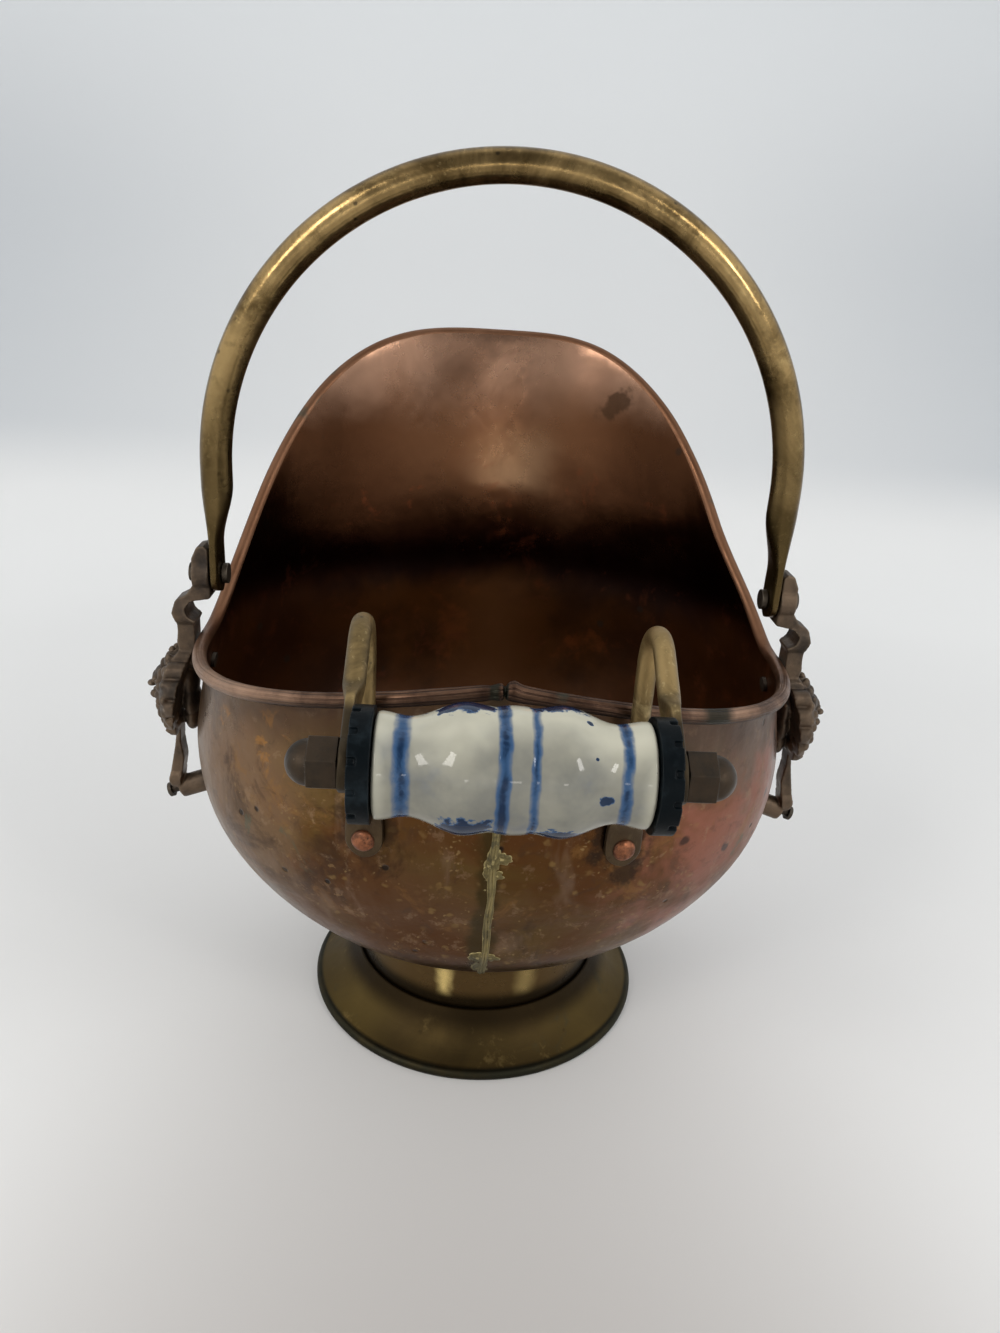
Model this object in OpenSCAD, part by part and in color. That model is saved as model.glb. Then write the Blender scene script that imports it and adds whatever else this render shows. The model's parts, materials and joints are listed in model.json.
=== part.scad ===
// Helmet-shaped coal scuttle in copper and brass.
// Sheet copper body on a brass foot, a swinging brass bail on two cast mask ears,
// and a turned porcelain grip on two gooseneck arms for tipping it.
// Origin: on the floor, under the middle of the overall length. +Y is the lip, -Y the grip, +Z up.
// Lengths along y in the sizes below are measured from the foot's own axis.

/* [Body] */
// Half of the body's greatest width, at the belly
belly_half_w = 100; // [85:1:120]
// Reach of the belly behind the foot's axis, towards the grip
belly_back = 84; // [76:1:98]
// Reach of the belly in front of the foot's axis, below the lip
belly_front = 84; // [76:1:100]
// Height of the belly's widest line
belly_z = 109; // [100:1:118]
// Height of the bowl's lowest point inside the foot
bowl_bottom_z = 31; // [27:1:34]
// Half width at the low sides of the rim
rim_half_w = 96.5; // [82:0.5:116]
// Height of the rim at its low sides
rim_side_z = 138; // [133:1:143]
// Rise of the rim from its sides to the peak at the back
rim_back_rise = 19; // [8:1:26]
// Height of the soft crease where the bowl turns into the lip
crease_z = 151; // [146:1:159]
// Height of the lip
lip_z = 235; // [210:1:257]
// Reach of the lip in front of the foot's axis
lip_front = 92; // [84:1:112]
// Thickness of the copper sheet
sheet_t = 1; // [0.8:0.1:1.4]

/* [Rolled rim] */
// Diameter of the iron wire that the rim is rolled over
rim_wire_d = 2.2; // [1.6:0.1:3]

/* [Foot] */
// Radius of the foot at the floor
foot_r = 62; // [55:1:70]
// Outer radius of the drum that carries the bowl
drum_r = 45; // [38:1:50]
// Height of the flare, where it meets the drum
flare_h = 15.5; // [11:0.5:20]
// Thickness of the foot's brass sheet
foot_t = 1.1; // [0.9:0.1:1.6]
// Diameter of the wire in the foot's rolled edge
foot_wire_d = 1.4; // [1:0.1:2.2]

/* [Bail] */
// Diameter of the bail's brass tube
bail_d = 10; // [8:0.5:12]
// Wall of the bail's tube
bail_wall = 1; // [0.7:0.1:1.5]
// Radius of the bail's bow, to the tube's centre
bail_r = 92; // [88:1:98]
// Height of the pins that the bail swings on
pivot_z = 161; // [158:1:165]
// Distance of those pins behind the foot's axis
pin_back = 6; // [0:1:12]
// Length of the bail's straight legs, from the pins to the bow
bail_leg = 35; // [30:1:50]
// Thickness of the flattened ends
bail_tab_t = 3.2; // [2.4:0.1:4]
// Diameter of the bail pins
pin_d = 4; // [3:0.1:5]

/* [Ears] */
// Thickness of the ear's upper lug
lug_t = 5.6; // [4.5:0.1:6.5]
// Radius of the lion mask across the face
mask_r = 12.5; // [10:0.5:15]
// Depth of the mask in front of its back
mask_depth = 13; // [10:0.5:16]
// Number of locks in the mane
mane_locks = 13; // [9:1:17]
// Diameter of the rivets that hold the ears
ear_rivet_d = 3; // [2.4:0.1:4]

/* [Arms] */
// Diameter of the brass rod
arm_d = 5.3; // [4:0.1:6]
// Radius of the bend over the rim, to the rod's centre
arm_bend_r = 12; // [10:0.5:15]
// Height of that bend's centre
arm_bend_z = 167; // [162:0.5:174]
// Width of the flattened tab on the body
arm_tab_w = 11; // [9:0.5:14]
// Height of the rivet in the tab
arm_rivet_z = 108.5; // [104:0.5:117]
// Diameter of the rivet's shank
arm_rivet_d = 4; // [3:0.1:5]

/* [Grip] */
// Length of the porcelain grip
grip_len = 60; // [54:1:64]
// Radius of the grip at its two swellings
grip_r = 14.5; // [12.5:0.5:17]
// Radius of the grip at its ends
grip_end_r = 11.8; // [10:0.1:13]
// Distance of the grip's axis behind the foot's axis
grip_y = 134; // [130:1:146]
// Height of the grip's axis
grip_z = 159.5; // [153:0.5:165]
// Diameter of the threaded rod through the grip
rod_d = 6.35; // [5:0.05:7]
// Running clearance of the grip on its rod, on the radius
grip_clear = 0.08; // [0.03:0.01:0.1]
// Width of the two black end rings
ring_w = 4.8; // [3:0.1:7]
// Outer radius of the end rings
ring_r = 13; // [13:0.1:16]
// Thickness of the flattened eyes at the ends of the arms
eye_t = 2.6; // [2:0.1:3.5]
// Size of the acorn nuts across their flats
nut_af = 11.1; // [10:0.1:13]
// Length of the hexagon on each nut
nut_hex = 6.5; // [5:0.1:9]

/* [Hidden] */
fit = 0.3;        // gap between curved faces that seat on each other
slip = 0.03;      // gap between a rivet or screw and its hole, on the radius
round_fn = 64;
hull_fn = 32;

// ---- body: a loft of columns round the bowl, each one a profile from the bottom up to the rim ----
columns = 64;         // even, half of them along the lip
bowl_rows = 9;
wall_rows = 3;        // from the belly to the crease
lip_rows = 4;         // from the crease to the rim
curl_steps = 8;
curl_end = 105;       // degrees below the horizontal where the rolled edge stops
plan_back = 2.3;      // superellipse exponents of the plan
plan_front = 2.05;
bowl_power = 2.1;     // fullness of the bowl's side
lip_power = 3.5;      // squareness of the lip seen from the grip
lip_taper = 0.26;     // how much the lip narrows as it rises
lip_flare_x = 6;      // how much the lip's section widens

// the arms stand where the grip and its end rings put them
arm_x = grip_len / 2 + fit + ring_w + eye_t / 2;

curl_r = (rim_wire_d + sheet_t) / 2 + 0.15;
bead_out = 2 * curl_r + sheet_t / 2;

// everything is drawn about the foot's axis and moved so that the origin is mid-length
middle_y = (grip_y + max(grip_r, ring_r) - lip_front - bead_out) / 2;
module placed() {
    translate([0, middle_y, 0]) children();
}

function clamp01(v) = min(1, max(0, v));
function smooth(v) = let (c = clamp01(v)) c * c * (3 - 2 * c);
function mix(a, b, t) = a + (b - a) * t;
function unit(v) = v / norm(v);

// height of the bowl's middle surface above a circle round the foot's axis, and of the drum's top
function bowl_under_z(r) =
    belly_z - (belly_z - bowl_bottom_z) * pow(1 - pow(r / belly_half_w, bowl_power), 1 / bowl_power);
drum_top_z = bowl_under_z(drum_r - foot_t) - 0.9;

// share of the belly's width at a height: a full bowl below the belly, drawn in above it
function bowl_share(z) =
    z >= belly_z ? 1
    : pow(max(0, 1 - pow((belly_z - z) / (belly_z - bowl_bottom_z), bowl_power)), 1 / bowl_power);
function lip_share(z) = clamp01((z - crease_z) / (lip_z - crease_z));
function drawn_in(z) = smooth((z - belly_z) / (rim_side_z - belly_z));
function half_w(z) =
    bowl_share(z) * mix(belly_half_w, rim_half_w, drawn_in(z)) + lip_flare_x * pow(lip_share(z), 1.3);
// the plan turns from round at the foot to flattened behind and before
function plan_blend(z) = smooth((z - drum_top_z) / 40);
function reach_back(z) =
    bowl_share(z) * mix(belly_half_w, belly_back, plan_blend(z));
function reach_front(z) =
    bowl_share(z) * mix(belly_half_w, belly_front, plan_blend(z)) * mix(1, 0.975, drawn_in(z))
    + (lip_front - 0.975 * belly_front) * pow(lip_share(z), 1.2);
function plan_power(z, back) = mix(2, back ? plan_back : plan_front, plan_blend(z));

// distance from the middle to the sheet, in a direction and at a height
function wall_r(a, z) =
    let (back = sin(a) < 0,
         n = plan_power(z, back),
         reach = back ? reach_back(z) : reach_front(z),
         w = half_w(z))
    w <= 0 || reach <= 0 ? 0
    : 1 / pow(pow(abs(cos(a)) / w, n) + pow(abs(sin(a)) / reach, n), 1 / n);
function wall_point(a, z) = let (r = wall_r(a, z)) [r * cos(a), r * sin(a), z];

// the rim: a squared hood over the lip, and a low line with a peak round the back
function lip_point(t) =
    let (u = pow(abs(sin(t)), 2 / lip_power),
         z = rim_side_z + (lip_z - rim_side_z) * u,
         x = (rim_half_w - lip_taper * (z - rim_side_z)) * pow(abs(cos(t)), 2 / lip_power) * sign(cos(t)),
         n = plan_power(z, false))
    [x, reach_front(z) * pow(max(0, 1 - pow(abs(x) / half_w(z), n)), 1 / n), z];
function back_point(t) =
    let (x = rim_half_w * pow(abs(cos(t)), 2 / plan_back) * sign(cos(t)),
         z = rim_side_z + rim_back_rise * (1 - pow(abs(x) / rim_half_w, 1.2)),
         w = half_w(z))
    [x, -reach_back(z) * pow(max(0, 1 - pow(min(1, abs(x) / w), plan_back)), 1 / plan_back), z];
// t runs evenly, drawn towards the lip's corners so that their bend is smooth
function rim_point(i) = let (t = 360 * i / columns) t <= 180 ? lip_point(t) : back_point(t);
rim_points = [for (i = [0:columns - 1]) rim_point(i)];
rim_angles = [for (p = rim_points) atan2(p[1], p[0])];

// heights of one column's rows, from just above the bottom to the rim
function bowl_z(k) = belly_z - (belly_z - bowl_bottom_z) * pow(cos(90 * k / bowl_rows), 2 / bowl_power);
function column_z(rim_z) =
    let (mid = min(crease_z, (belly_z + rim_z) / 2))
    concat([for (k = [1:bowl_rows]) bowl_z(k)],
           [for (k = [1:wall_rows]) mix(belly_z, mid, k / wall_rows)],
           [for (k = [1:lip_rows]) mix(mid, rim_z, k / lip_rows)]);

// middle of the sheet between its rows, where it is flat from row to row
side_rows = column_z(rim_side_z);
back_rows = column_z(rim_side_z + rim_back_rise);
function sheet_point(a, z, zs) =
    let (k = max([for (j = [0:len(zs) - 2]) zs[j] <= z ? j : 0]))
    mix(wall_point(a, zs[k]), wall_point(a, zs[k + 1]), (z - zs[k]) / (zs[k + 1] - zs[k]));

// outward normal of the sheet, from two small steps along it
function wall_normal(a, z) =
    let (d = 0.4,
         up = wall_point(a, z + d) - wall_point(a, z - d),
         along = wall_point(a + d, z) - wall_point(a - d, z))
    unit(cross(along, up));

// the edge is rolled square to its own line, outwards and down over the wire
function rim_dir(i) = unit(rim_points[(i + 1) % columns] - rim_points[(i + columns - 1) % columns]);
function rim_out(i) =
    let (n = wall_normal(rim_angles[i], rim_points[i][2] - 1), d = rim_dir(i))
    unit(n - (n * d) * d);
function bead_centre(i) = rim_points[i] + curl_r * rim_out(i);
function curl_arc(i, r, from, to) =
    let (out = rim_out(i), up = cross(out, rim_dir(i)))
    [for (k = [0:curl_steps]) let (b = mix(from, to, k / curl_steps))
        bead_centre(i) + r * (cos(b) * out + sin(b) * up)];

function column(i) =
    let (a = rim_angles[i],
         zs = column_z(rim_points[i][2]),
         rows = len(zs),
         half = sheet_t / 2,
         sheet = [for (k = [0:rows - 2]) [wall_point(a, zs[k]), wall_normal(a, zs[k])]])
    concat([for (s = sheet) s[0] + half * s[1]],
           curl_arc(i, curl_r - half, 180, -curl_end),
           curl_arc(i, curl_r + half, -curl_end, 180),
           [for (k = [rows - 2:-1:0]) sheet[k][0] - half * sheet[k][1]]);

// skin over closed rings of points, with a pole at each end
function ring_faces(rings, n) =
    [for (j = [0:rings - 2]) for (i = [0:n - 1]) let (k = (i + 1) % n)
        each [[j * n + i, (j + 1) * n + i, (j + 1) * n + k], [j * n + i, (j + 1) * n + k, j * n + k]]];

// solid between a row of rings that run clockwise about the path, flat at both ends
module capped_skin(rings) {
    n = len(rings[0]);
    last = len(rings) - 1;
    polyhedron(
        [for (r = rings) each r],
        concat([[for (k = [n - 1:-1:0]) k]],
               [for (f = ring_faces(len(rings), n)) [f[2], f[1], f[0]]],
               [[for (k = [0:n - 1]) last * n + k]]),
        convexity = 6);
}

module body_sheet() {
    cols = [for (i = [0:columns - 1]) column(i)];
    rings = len(cols[0]);
    points = concat([for (j = [0:rings - 1]) for (i = [0:columns - 1]) cols[i][j]],
                    [[0, 0, bowl_bottom_z - sheet_t / 2], [0, 0, bowl_bottom_z + sheet_t / 2]]);
    last = (rings - 1) * columns;
    faces = concat(
        ring_faces(rings, columns),
        [for (i = [0:columns - 1]) [rings * columns, i, (i + 1) % columns]],
        [for (i = [0:columns - 1]) [rings * columns + 1, last + (i + 1) % columns, last + i]]);
    polyhedron(points, faces, convexity = 6);
}

module body_shell() {
    color("#8a5a44") placed() body_sheet();
}

// the wire lies inside the roll, one ring of points to each column
module rim_wire() {
    sides = 6;
    points = [for (i = [0:columns - 1])
        let (out = rim_out(i), up = cross(out, rim_dir(i)))
        for (k = [0:sides - 1]) let (b = 360 * k / sides)
            bead_centre(i) + rim_wire_d / 2 * (cos(b) * out + sin(b) * up)];
    faces = [for (i = [0:columns - 1]) for (k = [0:sides - 1])
        let (j = (i + 1) % columns, m = (k + 1) % sides)
        each [[i * sides + k, i * sides + m, j * sides + m], [i * sides + k, j * sides + m, j * sides + k]]];
    color("#5a5450") placed() polyhedron(points, faces, convexity = 6);
}

// ---- braze down the back seam, a raised line with a blob at each end ----
seam_top_z = rim_side_z + rim_back_rise - 7;
seam_low_z = bowl_bottom_z + 14;
seam_w = 1.8;
seam_h = 0.6;

module seam_braze() {
    section = [[-1, 0.05], [-0.6, 1], [0.6, 1], [1, 0.05]];
    inner = [for (k = [len(back_rows) - 1:-1:0]) back_rows[k]];
    zs = concat([seam_top_z], [for (z = inner) if (z > seam_low_z + 1 && z < seam_top_z - 1) z], [seam_low_z]);
    rows = [for (z = zs)
        let (n = wall_normal(-90, z),
             base = sheet_point(-90, z, back_rows) + (sheet_t / 2 + 0.1) * n)
        [for (s = section) base + [s[0] * seam_w / 2, 0, 0] + s[1] * seam_h * n]];
    color("#b09a4e") placed() capped_skin(rows);
}

// ---- foot ----
foot_bead_r = foot_wire_d / 2 + 0.05 + foot_t;
foot_bead_x = foot_r - foot_bead_r;
foot_flat = 0.4;      // the rolled edge is worn flat where it stands on the floor
drum_low_z = flare_h - 4;

module foot_flare() {
    color("#6f6134") placed() rotate_extrude($fn = round_fn) difference() {
        union() {
            translate([foot_bead_x, foot_bead_r - foot_flat]) circle(foot_bead_r, $fn = 32);
            polygon([
                for (k = [0:6]) let (t = k / 6) flare_curve(t, foot_t),
                [drum_r + fit / 2, flare_h + 1.6],
                for (k = [6:-1:0]) let (t = k / 6) flare_curve(t, 0)
            ]);
        }
        translate([foot_bead_x, foot_bead_r - foot_flat]) circle(foot_wire_d / 2 + 0.05, $fn = 24);
        translate([foot_bead_x - 10, -5]) square([20, 5]);
    }
}

// the flare runs from the rolled edge up to the drum in one shallow hollow curve
function flare_curve(t, rise) =
    [mix(foot_bead_x - 0.6, drum_r + fit / 2 + foot_t * (rise > 0 ? 1 : 0), t),
     mix(2 * foot_bead_r - foot_flat - foot_t, flare_h, t) + rise - 1.6 * sin(180 * t)];

module foot_wire() {
    color("#4d4840") placed() rotate_extrude($fn = round_fn)
        translate([foot_bead_x, foot_bead_r - foot_flat]) circle(foot_wire_d / 2, $fn = 24);
}

module foot_drum() {
    color("#63562c") placed() rotate_extrude($fn = round_fn) polygon([
        [drum_r - foot_t, drum_low_z],
        [drum_r, drum_low_z],
        [drum_r, drum_top_z],
        [drum_r - foot_t, drum_top_z]
    ]);
}

// the fillet of solder that joins drum and bowl
module foot_solder() {
    color("#4a4230") placed() rotate_extrude($fn = round_fn) polygon([
        [drum_r + 0.05, drum_top_z - 1.2],
        [drum_r + 0.5, drum_top_z - 0.7],
        [drum_r + 1.6, drum_top_z + 0.2],
        [drum_r + 0.05, drum_top_z - 0.1]
    ]);
}

// ---- bail ----
bead_edge = rim_half_w + bead_out;         // outermost line of the rolled rim at the ear
neck_in = bead_edge + fit;
lug_in = neck_in - 5.8;             // inner face of the ear's lug
tab_out = lug_in - fit;             // outer face of the bail's flattened end
tab_x = tab_out - bail_tab_t / 2;
tab_w = 12;
bow_z = pivot_z + bail_leg;
tab_len = 14;                       // from the pin up to where the tube starts to round out
swell_len = 16;

module bail_end() {
    translate([tab_x, 0, pivot_z]) {
        difference() {
            union() {
                rotate([0, 90, 0]) cylinder(h = bail_tab_t, d = tab_w, center = true, $fn = round_fn);
                translate([-bail_tab_t / 2, -tab_w / 2, 0]) cube([bail_tab_t, tab_w, tab_len - 4]);
            }
            rotate([0, 90, 0]) cylinder(h = 20, r = pin_d / 2 + 0.06, center = true, $fn = round_fn);
        }
        hull() {
            translate([-bail_tab_t / 2, -tab_w / 2, tab_len - 4]) cube([bail_tab_t, tab_w, 0.1]);
            translate([bail_r - tab_x, 0, bail_leg - 0.1 - (bail_leg - tab_len - swell_len)])
                cylinder(h = 0.1, d = bail_d, $fn = hull_fn);
        }
    }
    translate([bail_r, 0, pivot_z + tab_len + swell_len])
        cylinder(h = max(0.5, bail_leg - tab_len - swell_len), d = bail_d, $fn = round_fn);
}

module bail() {
    color("#7d6a36") placed() translate([0, -pin_back, 0]) {
        translate([0, 0, bow_z]) rotate([90, 0, 0]) rotate_extrude(angle = 180, $fn = 96)
            translate([bail_r, 0]) difference() {
                circle(d = bail_d, $fn = round_fn);
                circle(d = bail_d - 2 * bail_wall, $fn = round_fn);
            }
        for (side = [0, 1]) mirror([side, 0, 0]) bail_end();
    }
}

module bail_pin() {
    head_t = 1.8;
    color("#4f4434") placed() translate([tab_x, -pin_back, pivot_z]) rotate([0, 90, 0]) {
        translate([0, 0, -bail_tab_t / 2 - fit]) {
            cylinder(h = bail_tab_t + 2 * fit + lug_t + slip, d = pin_d, $fn = round_fn);
            translate([0, 0, -head_t]) cylinder(h = head_t, r = pin_d / 2 + 1.4, $fn = round_fn);
            translate([0, 0, bail_tab_t + 2 * fit + lug_t + slip])
                cylinder(h = 1.4, r = pin_d / 2 + 1.1, $fn = round_fn);
        }
    }
}
module bail_pin_right() bail_pin();
module bail_pin_left() mirror([1, 0, 0]) bail_pin();

// ---- ears: cast brackets, a lug above, a loop, a lion mask and a curled tail ----
lug_out = lug_in + lug_t;
neck_t = 4.6;
mask_z = rim_side_z - 19.5;
mask_back = max(belly_half_w + 6, neck_in + 5.2);
nose_x = mask_back + mask_depth;
mane_r = mask_r * 1.3;                     // out to the tips of the locks
dome_drop = mask_depth - 1.8;              // the mask is domed down to a thin edge
mask_dome_r = (mane_r * mane_r + dome_drop * dome_drop) / 2 / dome_drop;
upper_rivet_z = rim_side_z - 8;
lower_rivet_z = mask_z - 33.5;

// side view of the casting, in the x-z plane
module ear_side() {
    polygon([
        [lug_in, pivot_z - 8],
        [lug_in, pivot_z + 8.5],
        [lug_in + 1.5, pivot_z + 10],
        [lug_out - 1.8, pivot_z + 9.4],
        [lug_out, pivot_z + 5.5],
        [lug_out, pivot_z - 3.5],
        [neck_in + 2.2, pivot_z - 7],
        [neck_in + 5.8, pivot_z - 9],
        [neck_in + 6.8, pivot_z - 13],
        [neck_in + 5.6, pivot_z - 17.5],
        [neck_in + neck_t + 0.9, rim_side_z + 3.4],
        [neck_in + neck_t + 1.4, rim_side_z - 0.8],
        [neck_in + neck_t + 0.8, rim_side_z - 3.4],
        [mask_back + 3.6, mask_z + 11.5],
        [nose_x - 6.6, mask_z + 7.5],
        [nose_x - 3.4, mask_z + 4],
        [nose_x, mask_z],
        [nose_x - 1.6, mask_z - 2.8],
        [nose_x - 1, mask_z - 5.4],
        [nose_x - 4, mask_z - 8.2],
        [nose_x - 3.4, mask_z - 11.2],
        [nose_x - 7.6, mask_z - 13.4],
        [mask_back + 4, mask_z - 16.5],
        [mask_back + 4.2, mask_z - 21],
        [mask_back + 5.6, mask_z - 28],
        [mask_back + 6.8, mask_z - 34],
        [mask_back + 5.8, mask_z - 38.4],
        [mask_back + 3.4, mask_z - 38.8],
        [mask_back + 2.4, mask_z - 33],
        [mask_back + 1.2, mask_z - 26],
        [mask_back + 2, mask_z - 19],
        [mask_back + 1.6, mask_z - 11],
        [mask_back, mask_z],
        [mask_back - 1.4, mask_z + 7],
        [neck_in + 1.6, rim_side_z - 5.4],
        [neck_in, rim_side_z - 2.6],
        [neck_in, rim_side_z + 5.4],
        [neck_in - 0.8, pivot_z - 16],
        [neck_in + 1.8, pivot_z - 14.2],
        [neck_in + 2.6, pivot_z - 11.6],
        [neck_in + 0.8, pivot_z - 9.2],
        [lug_in + 3.2, pivot_z - 8.6]
    ]);
}

// front view of the casting, in the y-z plane
module ear_front() {
    translate([0, pivot_z]) circle(6, $fn = round_fn);
    translate([-4.5, pivot_z + 2]) square([9, 9]);
    translate([-4.5, rim_side_z - 8]) square([9, pivot_z - rim_side_z + 4]);
    translate([0, pivot_z - 13]) circle(6.2, $fn = 32);
    translate([0, mask_z]) circle(mask_r, $fn = round_fn);
    for (k = [0:mane_locks - 1]) let (a = 90 + 360 * (k + 0.5) / mane_locks)
        translate([(mask_r + 0.6) * cos(a), mask_z + (mask_r + 0.6) * sin(a)]) circle(mask_r * 0.26, $fn = 24);
    translate([-3.4, mask_z - 34]) square([6.8, 24]);
    translate([0, mask_z - 34]) circle(4.6, $fn = 32);
}

// place on the body's side in the plane of the pins, square to the sheet
function side_x(z) = sheet_point(-atan2(pin_back, half_w(z)), z, side_rows)[0];
module on_sheet(z, off) {
    n = wall_normal(0, z);
    translate([side_x(z), 0, z] + off * n) rotate([0, atan2(n[0], n[2]), 0]) children();
}

// pad that stands between the casting and the body
module ear_pad(z, from_x, r) {
    off = sheet_t / 2 + fit;
    on_sheet(z, off) cylinder(h = (from_x - side_x(z)) / wall_normal(0, z)[0] - off, r = r, $fn = 32);
}

module ear() {
    difference() {
        union() {
            intersection() {
                rotate([90, 0, 0]) linear_extrude(4 * mane_r, center = true) ear_side();
                translate([lug_in - 10, 0, 0]) rotate([90, 0, 90])
                    linear_extrude(nose_x - lug_in + 20) ear_front();
                union() {
                    translate([nose_x - mask_dome_r, 0, mask_z]) sphere(r = mask_dome_r, $fn = 64);
                    translate([0, -mane_r, mask_z + 10]) cube([2 * nose_x, 2 * mane_r, 80]);
                    translate([0, -mane_r, mask_z - 60]) cube([2 * nose_x, 2 * mane_r, 48]);
                }
            }
            mask_relief();
            ear_pad(upper_rivet_z, neck_in + 3, 4.2);
            ear_pad(lower_rivet_z, mask_back + 3.4, 4);
        }
        translate([lug_in - 5, 0, pivot_z]) rotate([0, 90, 0])
            cylinder(h = 20, r = pin_d / 2 + slip, $fn = round_fn);
        for (z = [upper_rivet_z, lower_rivet_z]) {
            ear_rivet_shank(z, slip);
            on_sheet(z, sheet_t / 2 + fit + shank_len(z) - slip)
                cylinder(h = 12, r = ear_head_r + 0.2, $fn = 32);
        }
    }
}

// locks of the mane round the face, brow, cheeks and muzzle
module mask_relief() {
    for (k = [0:mane_locks - 1]) let (a = 90 + 360 * (k + 0.5) / mane_locks)
        translate([mask_back + 2.9, (mask_r - 1.5) * cos(a), mask_z + (mask_r - 1.5) * sin(a)])
            sphere(r = 2.7, $fn = 24);
    translate([nose_x - 5, 0, mask_z - 3.5]) sphere(r = 4.4, $fn = 32);
    for (s = [-1, 1]) {
        translate([nose_x - 6.4, s * 4.4, mask_z - 2]) sphere(r = 3.4, $fn = 24);
        translate([nose_x - 7.4, s * 4.6, mask_z + 5]) sphere(r = 2.4, $fn = 24);
    }
}

module ear_left() {
    color("#463c34") placed() translate([0, -pin_back, 0]) mirror([1, 0, 0]) ear();
}
module ear_right() {
    color("#463c34") placed() translate([0, -pin_back, 0]) ear();
}

// rivets through the casting: a head outside, a shank down to the sheet, a head inside the body
function ear_outer_x(z) = z > mask_z ? neck_in + neck_t + 0.6 : mask_back + 6.6;
function shank_len(z) = (ear_outer_x(z) - side_x(z)) / wall_normal(0, z)[0] - sheet_t / 2 - fit;

module ear_rivet_shank(z, grow) {
    on_sheet(z, sheet_t / 2 + fit - grow) cylinder(h = shank_len(z) + 1 + 2 * grow, r = ear_rivet_d / 2 + grow, $fn = 32);
}

// the outer heads lie in recesses in the casting
ear_head_r = ear_rivet_d / 2 + 1.1;
module ear_rivets() {
    for (z = [upper_rivet_z, lower_rivet_z]) {
        ear_rivet_shank(z, 0);
        on_sheet(z, sheet_t / 2 + fit + shank_len(z)) cylinder(h = 1.3, r = ear_head_r, $fn = 32);
        on_sheet(z, -sheet_t / 2 - fit - 1.2) cylinder(h = 1.2, r = ear_head_r, $fn = 32);
    }
}
module ear_rivets_right() {
    color("#5a4c40") placed() translate([0, -pin_back, 0]) ear_rivets();
}
module ear_rivets_left() {
    color("#5a4c40") placed() translate([0, -pin_back, 0]) mirror([1, 0, 0]) ear_rivets();
}

// ---- gooseneck arms ----
arm_angle = let (w = half_w(arm_rivet_z)) atan2(-reach_back(arm_rivet_z)
    * pow(1 - pow(arm_x / w, plan_power(arm_rivet_z, true)), 1 / plan_power(arm_rivet_z, true)), arm_x);
arm_n = wall_normal(arm_angle, arm_rivet_z);
arm_p = sheet_point(arm_angle, arm_rivet_z, side_rows);
arm_turn = atan2(arm_n[0], -arm_n[1]);        // how far the tab turns to lie on the sheet
arm_tab_t = 2.4;
// the leg passes outside the rolled rim
bead_y = max([for (i = [0:columns - 1]) let (c = bead_centre(i))
    abs(c[0] - arm_x) < 8 && c[1] < 0 ? -c[1] : 0]);
leg_y = bead_y + bead_out - curl_r + fit + arm_d / 2;
bend_y = leg_y + arm_bend_r;
// the rod leaves the bend on the line that runs to the grip's axis
to_eye = [grip_y - bend_y, grip_z - arm_bend_z];
leave = acos(arm_bend_r / norm(to_eye)) + atan2(to_eye[1], to_eye[0]);
leave_p = [bend_y + arm_bend_r * cos(leave), arm_bend_z + arm_bend_r * sin(leave)];
eye_way = unit([grip_y, grip_z] - leave_p);
eye_r = 6.4;
eye_bore_r = rod_d / 2 + 0.1;
tab_bore_r = arm_rivet_d / 2 + slip;
arm_sides = 16;
bend_steps = 14;
forge_steps = 6;

// A station of the arm: centre, axis across the arm, axis through it, half sizes, squareness.
function station(c, across, through, a, b, n) = [c, across, through, a, b, n];
function station_ring(s) = [for (k = [0:arm_sides - 1])
    let (f = 360 * (k + 0.5) / arm_sides, x = cos(f), y = sin(f))
    s[0] + s[3] * sign(x) * pow(abs(x), 2 / s[5]) * s[1] + s[4] * sign(y) * pow(abs(y), 2 / s[5]) * s[2]];

// flat tab on the sheet, drawn round as it rises and leans out over the rolled rim
tab_c = [arm_p[0], arm_p[1], 0] + (sheet_t / 2 + fit + arm_tab_t / 2) * unit([arm_n[0], arm_n[1], 0]);
leg_low = arm_rivet_z + 24;
function tab_station(t) =
    let (r = smooth(t), turn = arm_turn * (1 - r))
    station([mix(tab_c[0], arm_x, r), mix(tab_c[1], -leg_y, r), mix(arm_rivet_z + tab_bore_r + 0.6, leg_low, t)],
            [cos(turn), sin(turn), 0], [sin(turn), -cos(turn), 0],
            mix(arm_tab_w / 2 - 0.7, arm_d / 2, r), mix(arm_tab_t / 2 - 0.05, arm_d / 2, r), mix(6, 2, r));
function bend_station(f) =
    station([arm_x, -bend_y - arm_bend_r * cos(f), arm_bend_z + arm_bend_r * sin(f)],
            [1, 0, 0], [0, cos(f), -sin(f)], arm_d / 2, arm_d / 2, 2);
// the round rod runs towards the grip and is hammered flat before it passes the end ring
eye_stop = eye_bore_r + 0.7;
flat_from = max(ring_r, nut_af / 2 / cos(30)) + 0.6;
forge_len = 12;
function eye_station(t) =
    let (r = smooth(min(1, t)), back = t > 1 ? eye_stop : mix(flat_from + forge_len, flat_from, t),
         c = [grip_y, grip_z] - back * eye_way)
    station([arm_x, -c[0], c[1]], [1, 0, 0], [0, cos(leave), -sin(leave)],
            mix(arm_d / 2, eye_t / 2 - 0.05, r), mix(arm_d / 2, eye_r * 0.82, r), mix(2, 6, r));

module arm_loft() {
    rings = concat(
        [for (k = [0:forge_steps]) station_ring(tab_station(k / forge_steps))],
        [for (k = [0:bend_steps]) station_ring(bend_station(mix(180, leave, k / bend_steps)))],
        [for (k = [0:forge_steps + 1]) station_ring(eye_station(k / forge_steps))]);
    capped_skin(rings);
}

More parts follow.
